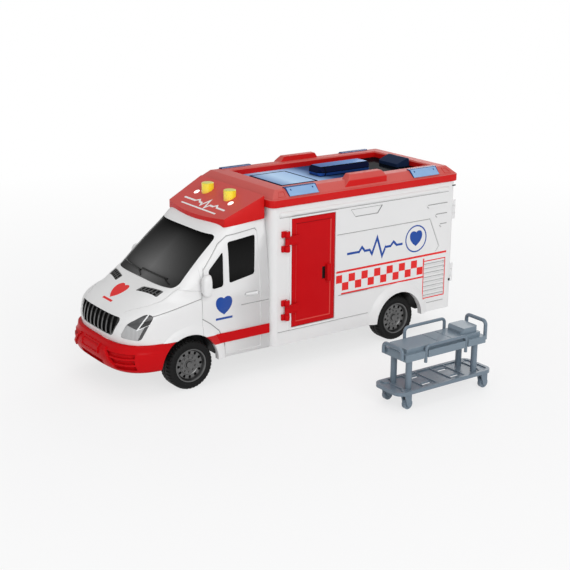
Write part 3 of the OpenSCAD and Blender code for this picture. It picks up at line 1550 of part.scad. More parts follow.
module near_rail() color("slategray") at_stretcher() translate([0, bed_w / 2 - rail_in, rail_rest_z])
    bent_bar(rail_len, rail_drop, rail_bar_r, rail_bend);

module far_rail() color("slategray") at_stretcher()
    translate([0, rail_in - bed_w / 2, rail_rest_z + rail_travel])
        bent_bar(rail_len, rail_drop, rail_bar_r, rail_bend);

module stretcher_handles() color("slategray") at_stretcher() {
    end_handle(-1, tall_handle_h);
    end_handle(1, low_handle_h);
}

module end_handle(side, height) {
    translate([side * (bed_len / 2 + handle_bar_r + seat_clear), 0, bed_z + handle_foot + height])
        rotate([0, 0, 90]) bent_bar(2 * handle_half, height, handle_bar_r, handle_bend);
}

// Casters: a trailing fork with a stem in the tray, and a wheel on the fork's pin
module caster_fork(i) color("slategray") at_stretcher() translate(caster_spots()[i]) {
    half = caster_w / 2 + fork_gap;
    rod_z(caster_stem_r, fork_top - fork_top_t, tray_z + tray_rim);
    block([-caster_trail - fork_tip_r, -half - fork_t, fork_top - fork_top_t],
        [caster_stem_r, half + fork_t, fork_top]);
    both_sides() side_slab(half, half + fork_t) {
        polygon([[-caster_trail - fork_tip_r, caster_z], [-caster_trail + fork_tip_r, caster_z],
            [caster_stem_r, fork_top - fork_top_t], [-caster_trail - fork_tip_r, fork_top - fork_top_t]]);
        translate([-caster_trail, caster_z]) circle(fork_tip_r);
    }
    translate([-caster_trail, 0, caster_z]) rod_y(caster_pin_r, -half - fork_t, half + fork_t);
}

module caster_wheel(i) color("darkslategray") at_stretcher()
    translate(caster_spots()[i] + [-caster_trail, 0, caster_z]) difference() {
        rod_y(caster_z, -caster_w / 2, caster_w / 2);
        rod_y(caster_pin_r + run_clear, -caster_w, caster_w);
    }

chassis();
load_floor();
left_side_panel();
right_side_panel();
front_bulkhead();
rear_frame();
roof_ring();
roof_insert();
light_bar();
ac_unit();
roof_lenses();
side_door();
side_door_hinges();
hinge_pins();
rear_left_door();
rear_right_door();
cab_shell();
windscreen();
side_windows();
bumper();
grille();
headlights();
mirrors();
bonnet_vents();
sill_stripes();
fairing();
led_lenses();
button_left();
button_right();
front_axle();
rear_axle();
front_rims();
rear_rims();
front_tyres();
rear_tyres();
drive_gear();
idler_gear();
flywheel();
gearbox();
gearbox_cover();
gear_shafts();
circuit_board();
speaker();
battery_cells();
battery_cover();
screws();
stretcher_tray();
stretcher_posts();
stretcher_bed();
stretcher_handles();
near_rail();
far_rail();
caster_fork(0);  // caster_fork_1
caster_fork(1);  // caster_fork_2
caster_fork(2);  // caster_fork_3
caster_fork(3);  // caster_fork_4
caster_wheel(0);  // caster_wheel_1
caster_wheel(1);  // caster_wheel_2
caster_wheel(2);  // caster_wheel_3
caster_wheel(3);  // caster_wheel_4
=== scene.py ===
import json
import math

import bmesh
import bpy
from mathutils import Matrix, Vector
from mathutils.bvhtree import BVHTree


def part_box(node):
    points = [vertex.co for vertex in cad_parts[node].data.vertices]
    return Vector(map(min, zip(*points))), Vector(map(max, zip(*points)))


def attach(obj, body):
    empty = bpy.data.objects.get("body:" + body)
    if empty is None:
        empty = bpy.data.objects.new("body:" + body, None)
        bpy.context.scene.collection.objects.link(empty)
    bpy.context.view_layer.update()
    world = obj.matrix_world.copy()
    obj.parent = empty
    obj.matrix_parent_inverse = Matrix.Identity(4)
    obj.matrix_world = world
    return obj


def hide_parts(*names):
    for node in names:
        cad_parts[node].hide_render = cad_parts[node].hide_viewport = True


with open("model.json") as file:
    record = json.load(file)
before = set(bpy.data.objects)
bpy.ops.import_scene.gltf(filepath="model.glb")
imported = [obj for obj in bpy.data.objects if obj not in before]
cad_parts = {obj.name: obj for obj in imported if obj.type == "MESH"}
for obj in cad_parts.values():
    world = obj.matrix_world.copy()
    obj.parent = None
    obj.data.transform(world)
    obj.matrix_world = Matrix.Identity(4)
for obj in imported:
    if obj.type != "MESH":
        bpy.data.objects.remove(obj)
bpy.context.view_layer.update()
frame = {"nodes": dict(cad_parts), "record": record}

nodes = frame["nodes"]
print("frame loaded with", len(nodes), "nodes")

# sizes are in millimetres from the middle of the rear axle, on the floor, with the van facing +X
axleLow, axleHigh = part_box("rear_axle")
datum = Vector(((axleLow[0] + axleHigh[0]) / 2, (axleLow[1] + axleHigh[1]) / 2, 0))
toFrame = Matrix.Translation(datum) @ Matrix.Scale(0.001, 4)


# camera

camera = {"place": (575.3, 712.4, 309.9), "azimuth": 144.747, "elevation": 16.905, "roll": 0.354,
          "lens": 75.64, "sensor": 36.0, "near": 0.01}


def placeCamera(view):
    azimuth, elevation, roll = (math.radians(view[key]) for key in ("azimuth", "elevation", "roll"))
    back = Vector((math.sin(azimuth) * math.cos(elevation), -math.cos(azimuth) * math.cos(elevation),
                   math.sin(elevation)))
    right = Vector((math.cos(azimuth), math.sin(azimuth), 0))
    up = back.cross(right)
    across = right * math.cos(roll) + up * math.sin(roll)
    upward = up * math.cos(roll) - right * math.sin(roll)
    eye = bpy.data.objects.new("photoCamera", bpy.data.cameras.new("photoCamera"))
    eye.data.lens = view["lens"]
    eye.data.sensor_width = view["sensor"]
    eye.data.clip_start = view["near"]
    turn = Matrix((across, upward, back)).transposed().to_4x4()
    eye.matrix_world = Matrix.Translation(toFrame @ Vector(view["place"])) @ turn
    bpy.context.scene.collection.objects.link(eye)
    bpy.context.scene.camera = eye


placeCamera(camera)
bpy.context.scene.view_settings.view_transform = "Standard"


# shader sums are written as plain expressions

class Wire:
    def __init__(self, paint, socket):
        self.paint = paint
        self.socket = socket

    def sum(self, operation, other=None, swap=False):
        pair = [self] if other is None else [other, self] if swap else [self, other]
        return self.paint.make("ShaderNodeMath", {"operation": operation}, dict(enumerate(pair)))

    def __add__(self, other): return self.sum("ADD", other)
    def __radd__(self, other): return self.sum("ADD", other)
    def __sub__(self, other): return self.sum("SUBTRACT", other)
    def __rsub__(self, other): return self.sum("SUBTRACT", other, True)
    def __mul__(self, other): return self.sum("MULTIPLY", other)
    def __rmul__(self, other): return self.sum("MULTIPLY", other)
    def __truediv__(self, other): return self.sum("DIVIDE", other)
    def __mod__(self, other): return self.sum("FLOORED_MODULO", other)
    def __lt__(self, other): return self.sum("LESS_THAN", other)
    def __gt__(self, other): return self.sum("GREATER_THAN", other)
    def __or__(self, other): return self.sum("MAXIMUM", other)
    def __abs__(self): return self.sum("ABSOLUTE")

    def between(self, low, high): return (self > low) * (self < high)
    def near(self, middle, half): return abs(self - middle) < half
    def drift(self, base, spread): return self * spread + base


# what a moulded skin has unless its finish says otherwise
mould = {"cloud": 60.0, "clouding": 0.25, "dark": (0.84,) * 3, "light": (1.0,) * 3, "spread": 0.12,
         "peel": 900.0, "peelDetail": 2.0, "peelDepth": 0.00002, "more": {}}


class Paint:
    def __init__(self, name, kind="materials"):
        self.material = getattr(bpy.data, kind).new(name)
        self.material.use_nodes = True
        self.tree = self.material.node_tree
        self.shader = self.tree.nodes.get("Principled BSDF")

    def make(self, kind, settings=None, sockets=None, output=0):
        node = self.tree.nodes.new(kind)
        for key, value in (settings or {}).items():
            if key == "stops":
                for spot, (place, colour) in enumerate(value):
                    stop = node.color_ramp.elements[spot] if spot < 2 else node.color_ramp.elements.new(place)
                    stop.position, stop.color = place, (*colour, 1)
            else:
                setattr(node, key, value)
        for key, value in (sockets or {}).items():
            self.plug(node.inputs[key], value)
        return Wire(self, node.outputs[output])

    def plug(self, socket, value):
        if isinstance(value, Wire):
            self.tree.links.new(value.socket, socket)
        elif socket.type == "RGBA":
            socket.default_value = (*value, 1)
        else:
            socket.default_value = value

    def surface(self, values):
        for key, value in values.items():
            self.plug(self.shader.inputs[key], value)
        return self.material

    def show(self, shader, output="Material Output"):
        self.tree.links.new(shader.socket, self.tree.nodes[output].inputs["Surface"])

    def coords(self): return self.make("ShaderNodeTexCoord", None, None, "Object")

    def places(self):  # millimetres from the datum
        spot = self.make("ShaderNodeVectorMath", {"operation": "SUBTRACT"}, {0: self.coords(), 1: datum})
        spot = self.make("ShaderNodeVectorMath", {"operation": "SCALE"}, {0: spot, "Scale": 1000.0})
        return [self.make("ShaderNodeSeparateXYZ", None, {0: spot}, axis) for axis in "XYZ"]

    def grain(self, scale, detail=3.0):
        sockets = {"Vector": self.coords(), "Scale": scale, "Detail": detail}
        return self.make("ShaderNodeTexNoise", None, sockets)

    def blend(self, mask, first, second):
        return self.make("ShaderNodeMix", {"data_type": "RGBA"}, {0: mask, 6: first, 7: second}, 2)

    def fade(self, spot, low, high):  # 0 at low, 1 at high
        return self.make("ShaderNodeMapRange", {"clamp": True}, {0: spot, 1: low, 2: high})

    def ramp(self, spot, stops):
        return self.make("ShaderNodeValToRGB", {"stops": stops}, {0: spot})

    def bump(self, height, depth):
        return self.make("ShaderNodeBump", None, {"Height": height, "Strength": 1.0, "Distance": depth})

    def moulded(self, colour, finish):  # faint clouding of colour and gloss, fine orange peel
        plan = {**mould, **finish}
        cloud = self.grain(plan["cloud"])
        tone = self.blend(cloud, plan["dark"], plan["light"])
        shade = self.make("ShaderNodeMix", {"data_type": "RGBA", "blend_type": "MULTIPLY"},
                          {0: plan["clouding"], 6: colour, 7: tone}, 2)
        rough = (cloud - 0.5).drift(plan["rough"], plan["spread"])
        peel = self.bump(self.grain(plan["peel"], plan["peelDetail"]), plan["peelDepth"])
        return self.surface({"Base Color": shade, "Roughness": rough, "Normal": peel, **plan["more"]})


# colours, as linear values
tint = {
    "white": (0.80, 0.80, 0.80), "red": (0.56, 0.006, 0.009), "satinRed": (0.62, 0.006, 0.006),
    "black": (0.007, 0.007, 0.007), "glass": (0.004, 0.004, 0.004), "blueInk": (0.003, 0.060, 0.34),
    "redInk": (0.78, 0.008, 0.007), "gunmetal": (0.15, 0.15, 0.15), "rubber": (0.009, 0.009, 0.009),
    "seam": (0.34, 0.34, 0.34), "paintedSheenRed": (0.62, 0.12, 0.105), "slate": (0.165, 0.215, 0.265),
    "bedSlate": (0.185, 0.24, 0.29), "airBlue": (0.011, 0.023, 0.062), "steel": (0.55, 0.55, 0.56),
    "gearWhite": (0.62, 0.60, 0.54), "boardGreen": (0.01, 0.11, 0.05), "cellSkin": (0.30, 0.24, 0.09),
    "yellow": (0.86, 0.72, 0.03),
}

whiteFinish = {"rough": 0.32,
               "more": {"Specular IOR Level": 0.3, "Coat Weight": 0.06, "Coat Roughness": 0.12}}
redFinish = {"rough": 0.30, "clouding": 0.4,
             "more": {"Specular IOR Level": 0.12, "IOR": 1.25, "Coat Weight": 0.03, "Coat Roughness": 0.1}}
satinFinish = {"rough": 0.42, "clouding": 0.4, "peel": 1400.0, "peelDepth": 0.00006,
               "more": {"Specular IOR Level": 0.2}}
glossFinish = {"rough": 0.2, "more": {"Specular IOR Level": 0.2}}
rubberFinish = {"rough": 0.58, "peel": 1500.0, "peelDepth": 0.00004, "more": {"Specular IOR Level": 0.15}}
slateFinish = {"rough": 0.3, "clouding": 0.5, "more": {"Specular IOR Level": 0.4}}


def traceMask(along, up, points, half):  # a drawn line through points, upright steps left out
    mask = None
    for (a0, u0), (a1, u1) in zip(points, points[1:]):
        if a0 == a1:
            continue
        slope = (u1 - u0) / (a1 - a0)
        reach = half * math.sqrt(1 + slope * slope)
        step = along.between(min(a0, a1), max(a0, a1)) * (up - (along - a0) * slope).near(u0, reach)
        mask = step if mask is None else mask | step
    return mask


heartCurve = {"span": 2.3, "rise": 0.1}


def heartMask(along, up, width):  # a plain heart, upright about the origin
    scale = heartCurve["span"] / width
    a, u = along * scale, up * scale + heartCurve["rise"]
    square = a * a
    body = square + u * u - 1.0
    return body * body * body < square * u * u * u


# checks, lines, vent frame and heartbeat printed on the box sides, and grey lines of painted shade under the
# louvres, under the drip rail and along the creases, recess and capsules
sidePrint = {
    "face": 47.5, "pitch": 6.05, "front": 60.9, "rear": -25.2, "top": 61.8, "rowCount": 2,
    "upperLine": (64.3, 0.8, -47.6), "lowerLine": (47.3, 0.65, 55.6), "axle": 17.5, "archClear": 29.4,
    "vent": (-47.0, -24.1, 29.1, 59.9), "ventLine": 0.85,
    "beat": [(50.7, 77.0), (39.5, 77.0), (36.8, 80.2), (34.0, 77.0), (29.5, 77.0), (27.2, 73.6), (22.4, 85.4),
             (17.4, 70.6), (14.2, 77.0), (9.4, 77.0), (6.4, 80.0), (3.4, 77.0), (-2.5, 77.0)],
    "beatLine": 0.9, "badge": (-15.8, 79.0), "badgeRadius": 10.1, "badgeLine": 0.55, "heart": 12.5,
    "shadeLineHalf": 0.26, "louvres": (-46.0, -25.0, 30.1, 3.6, 8), "louvreShade": (0.34, 0.58),
    "seams": [[(59.69, 92.52), (-29.34, 92.52), (-39.5, 69.82), (-36.23, 65.95)],
              [(57.79, 46.4), (30.0, 46.4)], [(112.9, 27.98), (29.38, 27.98)],
              [(-29.17, 25.33), (-46.39, 25.33)], [(-47.5, 112.0), (111.0, 112.0)],
              [(18.35, 109.8), (47.65, 109.8), (43.45, 104.2), (22.55, 104.2), (18.35, 109.8)],
              [(-46.5, 103.6), (-26.6, 103.6)], [(-46.5, 95.5), (-35.2, 95.5)],
              [(-46.5, 87.4), (-39.8, 87.4)], [(-27.4, 101.0), (-26.0, 102.4)],
              [(-36.0, 92.9), (-34.7, 94.3)], [(-40.6, 84.8), (-39.3, 86.2)]],
}


def sidePaint(name, marks):
    paint = Paint(name)
    x, y, z = paint.places()
    column = ((marks["front"] - x) / marks["pitch"]).sum("FLOOR")
    row = ((marks["top"] - z) / marks["pitch"]).sum("FLOOR")
    red = ((column + row) % 2.0 < 0.5) * x.between(marks["rear"], marks["front"])
    red = red * z.between(marks["top"] - marks["rowCount"] * marks["pitch"], marks["top"])
    lineZ, lineHalf, lineRear = marks["upperLine"]
    red = red | (z.near(lineZ, lineHalf) * x.between(lineRear, marks["front"]))
    lineZ, lineHalf, lineFront = marks["lowerLine"]
    rise = z - marks["axle"]
    clear = x * x + rise * rise > marks["archClear"] ** 2
    red = red | (z.near(lineZ, lineHalf) * x.between(marks["rear"], lineFront) * clear)
    x0, x1, z0, z1 = marks["vent"]
    line = marks["ventLine"]
    inside = x.between(x0 + line, x1 - line) * z.between(z0 + line, z1 - line)
    red = red | (x.between(x0, x1) * z.between(z0, z1) * (1 - inside))
    badgeX, badgeZ = marks["badge"]
    offX, offZ = x - badgeX, z - badgeZ
    ring = (offX * offX + offZ * offZ).sum("SQRT").near(marks["badgeRadius"], marks["badgeLine"])
    blue = ring | heartMask(offX, offZ, marks["heart"]) | traceMask(x, z, marks["beat"], marks["beatLine"])
    face = abs(y) > marks["face"]
    # painted shade: grey bands under the louvres and grey lines under the drip rail and along the creases,
    # recess and capsules
    ventX0, ventX1, ventZ, ventPitch, ventCount = marks["louvres"]
    shade = x.between(ventX0, ventX1) * z.between(ventZ, ventZ + ventPitch * ventCount)
    shade = shade * (((z - ventZ) / ventPitch) % 1.0).between(*marks["louvreShade"])
    for points in marks["seams"]:
        shade = shade | traceMask(x, z, points, marks["shadeLineHalf"])
    colour = paint.blend(shade * face, tint["white"], tint["seam"])
    colour = paint.blend(red * face, colour, tint["redInk"])
    return paint.moulded(paint.blend(blue * face, colour, tint["blueInk"]), whiteFinish)


# seams of the cab's sides, cut as grooves and drawn over in grey as painted shade
cabSeams = {
    "doorLine": [(125.5, 20.5), (125.5, 103.9), (127.0, 105.9), (149.5, 103.2), (156.5, 98.4), (170.2, 82.6),
                 (173.2, 63.5), (173.0, 49.0), (166.5, 44.5), (160.0, 38.5), (157.0, 33.0), (155.4, 27.0),
                 (155.0, 20.5)],
    "fenderLine": [(173.4, 63.6), (212.0, 56.4)],
    "seamLine": [(117.0, 53.8), (141.5, 53.7)],
}

# heart and line printed on the cab doors and the bonnet, the red sill carried on to the wheel arch, and the
# painted shade along the seams
cabPrint = {
    "door": (155.6, 55.6), "doorHeart": 13.5, "doorLine": (46.7, 0.8, 6.8), "doorFace": 40.0,
    "bonnet": 213.2, "bonnetHeart": 14.0, "bonnetLine": (221.4, 0.75, 6.5), "bonnetFloor": 55.0,
    "shadeLineFace": 36.0, "shadeLineHalf": 0.33, "sillX": (157.0, 172.0), "sillZ": (29.0, 36.0),
}


def cabPaint(name, marks):
    paint = Paint(name)
    x, y, z = paint.places()
    doorX, doorZ = marks["door"]
    lineZ, lineHalf, lineReach = marks["doorLine"]
    door = heartMask(x - doorX, z - doorZ, marks["doorHeart"])
    door = (door | (z.near(lineZ, lineHalf) * x.near(doorX, lineReach))) * (abs(y) > marks["doorFace"])
    lineX, lineHalf, lineReach = marks["bonnetLine"]
    bonnet = heartMask(y, marks["bonnet"] - x, marks["bonnetHeart"])
    bonnet = (bonnet | (x.near(lineX, lineHalf) * y.near(0, lineReach))) * (z > marks["bonnetFloor"])
    # painted shade: grey lines along the cut seams
    seam = None
    for points in cabSeams.values():
        trace = traceMask(x, z, points, marks["shadeLineHalf"])
        seam = trace if seam is None else seam | trace
    colour = paint.blend(seam * (abs(y) > marks["shadeLineFace"]), tint["white"], tint["seam"])
    colour = paint.blend(door, colour, tint["blueInk"])
    sill = x.between(*marks["sillX"]) * z.between(*marks["sillZ"]) * (abs(y) > marks["doorFace"])
    colour = paint.blend(sill, colour, tint["red"])
    return paint.moulded(paint.blend(bonnet, colour, tint["redInk"]), whiteFinish)


# red door, with a painted highlight along the slopes of its sunk panel and painted shade on the upper one
doorPaintedLight = {"outer": (65.9, 97.1, 33.9, 106.6), "slope": 0.55, "face": 49.15, "worn": (0.66, 0.085, 0.07),
             "under": (0.24, 0.003, 0.005)}


def doorPaint(name, marks):
    paint = Paint(name)
    x, y, z = paint.places()
    x0, x1, z0, z1 = marks["outer"]
    slope = marks["slope"]
    inner = x.between(x0 + slope, x1 - slope) * z.between(z0 + slope, z1 - slope)
    ring = x.between(x0, x1) * z.between(z0, z1) * (1 - inner) * (y < marks["face"])
    # painted highlight on the slopes, painted shade on the upper slope
    colour = paint.blend(ring, tint["red"], paint.blend(z > z1 - slope, marks["worn"], marks["under"]))
    return paint.moulded(colour, redFinish)


# white trace and stripe across the fairing
fairingPrint = {
    "beat": [(-27.0, 142.6), (-12.0, 142.6), (-9.0, 140.6), (-6.0, 142.6), (-3.4, 142.6), (-1.4, 144.8),
             (2.0, 138.4), (5.4, 146.2), (7.6, 142.6), (12.0, 142.6), (14.4, 140.6), (17.0, 142.6),
             (27.0, 142.6)],
    "beatLine": 0.75, "stripe": (147.8, 0.6, 23.0), "floor": 111.0, "white": (0.85, 0.85, 0.85),
}


# satin red with a painted sheen: paler where a face leans up
roofSheen = {"lean": (0.2, 0.75), "grain": (2600.0, 1.0), "spread": 0.5, "least": 0.75, "roof": 0.95,
             "fairing": 0.6}


def roofRed(paint, amount):
    upward = paint.make("ShaderNodeAttribute", {"attribute_name": "upward"}, None, "Fac")
    speckle = paint.grain(*roofSheen["grain"]).drift(roofSheen["least"], roofSheen["spread"])
    # painted sheen: faces that lean up blend towards a paler red
    sheen = paint.fade(upward, *roofSheen["lean"]) * speckle * amount
    return paint.blend(sheen, tint["satinRed"], tint["paintedSheenRed"])


def satinPaint(name):
    paint = Paint(name)
    return paint.moulded(roofRed(paint, roofSheen["roof"]), satinFinish)


def fairingPaint(name, marks):
    paint = Paint(name)
    x, y, z = paint.places()
    stripeX, stripeHalf, stripeReach = marks["stripe"]
    white = traceMask(y, x, marks["beat"], marks["beatLine"])
    white = (white | (x.near(stripeX, stripeHalf) * y.near(0, stripeReach))) * (z > marks["floor"])
    # the fairing's red carries the same painted sheen, more faintly
    colour = paint.blend(white, roofRed(paint, roofSheen["fairing"]), marks["white"])
    return paint.moulded(colour, satinFinish)


# dark panes with a painted reflection: a soft grey patch low in the middle
paneReflection = {"upper": (103.0, 80.0), "lower": (52.0, 78.0), "middle": 3.0, "reach": 44.0,
            "grey": (0.16, 0.16, 0.16), "grain": 45.0, "rough": (0.08, 0.06)}


def glassPaint(name, marks):
    paint = Paint(name)
    _, y, z = paint.places()
    # painted reflection: grey towards the middle of each pane
    brightening = paint.fade(z, *marks["upper"]) * paint.fade(z, *marks["lower"])
    brightening = brightening * paint.fade(abs(y - marks["middle"]), marks["reach"], 0.0)
    colour = paint.blend(brightening, tint["glass"], marks["grey"])
    return paint.surface({"Base Color": colour,
                          "Roughness": paint.grain(marks["grain"]).drift(*marks["rough"]),
                          "Specular IOR Level": 0.035, "IOR": 1.25})


# headlights, in their own turned places: fluted silver below, dark reflector above, and a bright strip
# between as a painted highlight
lampPlace = (219.0, 38.5, 50.0)
lampTurn = math.radians(40)
lampPrint = {
    "flutes": 7.0, "fluteDepth": 0.00006, "silver": ((0.28, 0.285, 0.29), (0.56, 0.565, 0.57)),
    "reflector": (0.055, 0.057, 0.06), "outer": (0.012, 0.012, 0.013), "bright": (0.80, 0.81, 0.82),
    "foot": -1.8, "shallow": 0.42, "steep": 1.5, "band": 0.75, "bandFoot": -2.2, "edge": 0.3,
    "rim": (2.08, 9.4), "rimGrey": (0.05, 0.05, 0.052), "rough": (0.06, 0.1),
}


def lampPaint(name, marks):
    paint = Paint(name)
    x, y, z = paint.places()
    across = (abs(y) - lampPlace[1]) * math.cos(lampTurn) - (x - lampPlace[0]) * math.sin(lampTurn)
    up = z - lampPlace[2]
    flutes = ((across * marks["flutes"]).sum("SINE") + 1) * 0.5
    foot, shallow, steep = marks["foot"], across * marks["shallow"], across * marks["steep"]
    dark = up > abs(shallow) + foot
    colour = paint.blend(dark, paint.blend(flutes, *marks["silver"]), marks["reflector"])
    colour = paint.blend(dark * (up < steep + foot), colour, marks["outer"])
    # painted highlight: a bright band and edge between silver and reflector
    band = (up - steep).near(foot, marks["band"]) * (up > marks["bandFoot"])
    edge = (up - shallow).near(foot, marks["edge"]) * (across > 0)
    colour = paint.blend(band | edge, colour, marks["bright"])
    rimLean, rimPlace = marks["rim"]
    rim = (across * rimLean - up > rimPlace) * (1 - dark)
    colour = paint.blend(rim, colour, marks["rimGrey"])
    return paint.surface({"Base Color": colour, "Roughness": flutes.drift(*marks["rough"]),
                          "Coat Weight": 0.3, "Coat Roughness": 0.03,
                          "Normal": paint.bump(flutes, marks["fluteDepth"])})


# bonnet vents, turned and skewed: grey with dark slots
bonnetVent = {
    "place": (201.9, 24.7), "long": 5.6, "wide": 21.0, "turn": math.radians(14), "skew": 2.0, "round": 1.2,
    "base": 60.0, "rise": 40.0, "sink": 1.3, "topSink": 0.25, "floorSink": 1.2, "slotSink": 0.78,
    "edgeGap": 0.2, "bars": 5, "slot": 2.3, "slotLong": 0.8, "slotShare": 0.34, "slotReach": (2.3, 8.8),
    "midBar": 0.35, "grey": (0.10, 0.10, 0.10),
    "finish": {"rough": 0.45, "more": {"Specular IOR Level": 0.2}},
}


def ventPaint(name, plan):
    paint = Paint(name)
    x, y, _ = paint.places()
    offX, offY = x - plan["place"][0], abs(y) - plan["place"][1]
    cosine, sine = math.cos(plan["turn"]), math.sin(plan["turn"])
    long = offX * cosine + offY * sine
    wide = offY * cosine - offX * sine + long * (plan["skew"] / plan["long"])
    pitch = plan["wide"] / (plan["bars"] + 1)
    slot = ((wide / pitch + 0.5) % 1.0).near(0.5, plan["slotShare"])
    longReach, wideReach = plan["slotReach"]
    slot = slot * abs(long).between(plan["midBar"], longReach) * (abs(wide) < wideReach)
    return paint.moulded(paint.blend(slot, plan["grey"], tint["black"]), plan["finish"])


# glossy roof insert, pale in front and black behind as a painted reflection, with an edged panel
roofPrintAndReflection = {
    "fade": (-12.0, 98.0), "drift": (16.0, 0.12), "panel": (57.5, 90.5, 21.5), "edge": 1.7, "panelZ": 126.8,
    "border": (0.004, 0.010, 0.035), "grain": 80.0, "rough": (0.07, 0.08),
    "stops": [(0.0, (0.003, 0.004, 0.006)), (1.0, (0.05, 0.12, 0.34)), (0.24, (0.006, 0.010, 0.022)),
              (0.46, (0.05, 0.10, 0.24)), (0.60, (0.38, 0.56, 0.84)), (0.80, (0.52, 0.71, 0.94))],
}


def roofPaint(name, marks):
    paint = Paint(name)
    x, y, z = paint.places()
    scale, spread = marks["drift"]
    # painted reflection: a gradient along the insert, black behind and pale towards the front
    along = paint.fade(x, *marks["fade"]) + (paint.grain(scale) - 0.5) * spread
    colour = paint.ramp(along, marks["stops"])
    x0, x1, half = marks["panel"]
    edge = marks["edge"]
    inside = x.between(x0 + edge, x1 - edge) * (abs(y) < half - edge)
    colour = paint.blend((z > marks["panelZ"]) * (1 - inside), colour, marks["border"])
    return paint.surface({"Base Color": colour,
                          "Roughness": paint.grain(marks["grain"]).drift(*marks["rough"]),
                          "Specular IOR Level": 0.02, "IOR": 1.1})


# tinted light bar with a painted highlight on its top, a dark belt and darker foot
barPrint = {
    "fade": (44.0, 14.0), "least": 0.6, "top": ((0.03, 0.11, 0.36), (0.13, 0.31, 0.68)),
    "foot": ((0.012, 0.05, 0.22), (0.03, 0.11, 0.40)), "belt": (129.7, 133.5),
    "beltBlue": (0.004, 0.007, 0.032), "line": 0.3, "low": 127.1, "mark": (41.0, 0.5, 133.4),
    "edge": (0.003, 0.004, 0.006), "grain": 50.0, "rough": (0.06, 0.08),
}


def barPaint(name, marks):
    paint = Paint(name)
    x, _, z = paint.places()
    cloud = paint.grain(marks["grain"])
    least = marks["least"]
    # painted highlight: the top is paler blue, fading along the bar
    top = paint.blend(paint.fade(x, *marks["fade"]) * cloud.drift(least, 1 - least), *marks["top"])
    low, high = marks["belt"]
    colour = paint.blend(z > low, paint.blend(cloud, *marks["foot"]), marks["beltBlue"])
    colour = paint.blend(z > high, colour, top)
    markX, markHalf, markTop = marks["mark"]
    edge = z.near(low, marks["line"]) | z.near(high, marks["line"]) | (z < marks["low"])
    edge = edge | (x.near(markX, markHalf) * (z < markTop))
    colour = paint.blend(edge, colour, marks["edge"])
    return paint.surface({"Base Color": colour, "Roughness": cloud.drift(*marks["rough"]),
                          "Specular IOR Level": 0.1, "IOR": 1.25})


# pale lenses with dark edges and a dark dot in each upper corner
lensPrint = {"spans": [(76.0, 103.0), (-38.0, -11.0)], "edge": 1.0, "low": 126.3, "high": 131.7,
             "dot": (4.0, 130.2, 0.55), "pale": ((0.20, 0.36, 0.62), (0.34, 0.52, 0.78)),
             "dark": (0.010, 0.05, 0.20), "grain": 70.0, "rough": (0.08, 0.08)}


def lensPaint(name, marks):
    paint = Paint(name)
    x, _, z = paint.places()
    dark = (z < marks["low"]) | (z > marks["high"])
    dotIn, dotZ, dotR = marks["dot"]
    for x0, x1 in marks["spans"]:
        for end, inward in ((x0, 1), (x1, -1)):
            dark = dark | x.near(end, marks["edge"])
            offX, offZ = x - (end + inward * dotIn), z - dotZ
            dark = dark | (offX * offX + offZ * offZ < dotR * dotR)
    cloud = paint.grain(marks["grain"])
    colour = paint.blend(dark, paint.blend(cloud, *marks["pale"]), marks["dark"])
    return paint.surface({"Base Color": colour, "Roughness": cloud.drift(*marks["rough"]),
                          "Specular IOR Level": 0.25})


metalWear = {"grain": (180.0, 4.0), "dull": 0.75, "bright": 1.2, "spread": 0.16, "depth": 0.00002}


def metalPaint(name, colour, rough):
    paint = Paint(name)
    wear = paint.grain(*metalWear["grain"])
    dull, bright = (tuple(min(1.0, c * metalWear[key]) for c in tint[colour]) for key in ("dull", "bright"))
    return paint.surface({"Base Color": paint.blend(wear, dull, bright), "Metallic": 1.0,
                          "Roughness": wear.drift(rough, metalWear["spread"]),
                          "Normal": paint.bump(wear, metalWear["depth"])})


# tinted yellow buttons, warmer towards the foot and greener on top, with a faint painted glow
buttonPrint = {"fade": (124.5, 118.5), "foot": (0.75, 0.22, 0.01), "topZ": 128.2, "top": (0.42, 0.52, 0.03),
               "grain": 400.0, "rough": (0.14, 0.1)}


def buttonPaint(name, marks):
    paint = Paint(name)
    z = paint.places()[2]
    colour = paint.blend(paint.fade(z, *marks["fade"]), tint["yellow"], marks["foot"])
    cloud = paint.grain(marks["grain"])
    colour = paint.blend(cloud * (z > marks["topZ"]), colour, marks["top"])
    # painted glow: the buttons give off a little light of their own colour
    return paint.surface({"Base Color": colour, "Roughness": cloud.drift(*marks["rough"]), "Coat Weight": 0.5,
                          "Emission Color": colour, "Emission Strength": 0.12})


def ledPaint(name, grain=300.0, rough=(0.1, 0.1)):
    paint = Paint(name)
    return paint.surface({"Base Color": (0.9, 0.9, 0.88), "Roughness": paint.grain(grain).drift(*rough),
                          "Emission Color": (1.0, 1.0, 0.97), "Emission Strength": 1.0})


def plain(name, colour, finish):
    return Paint(name).moulded(tint[colour], finish)


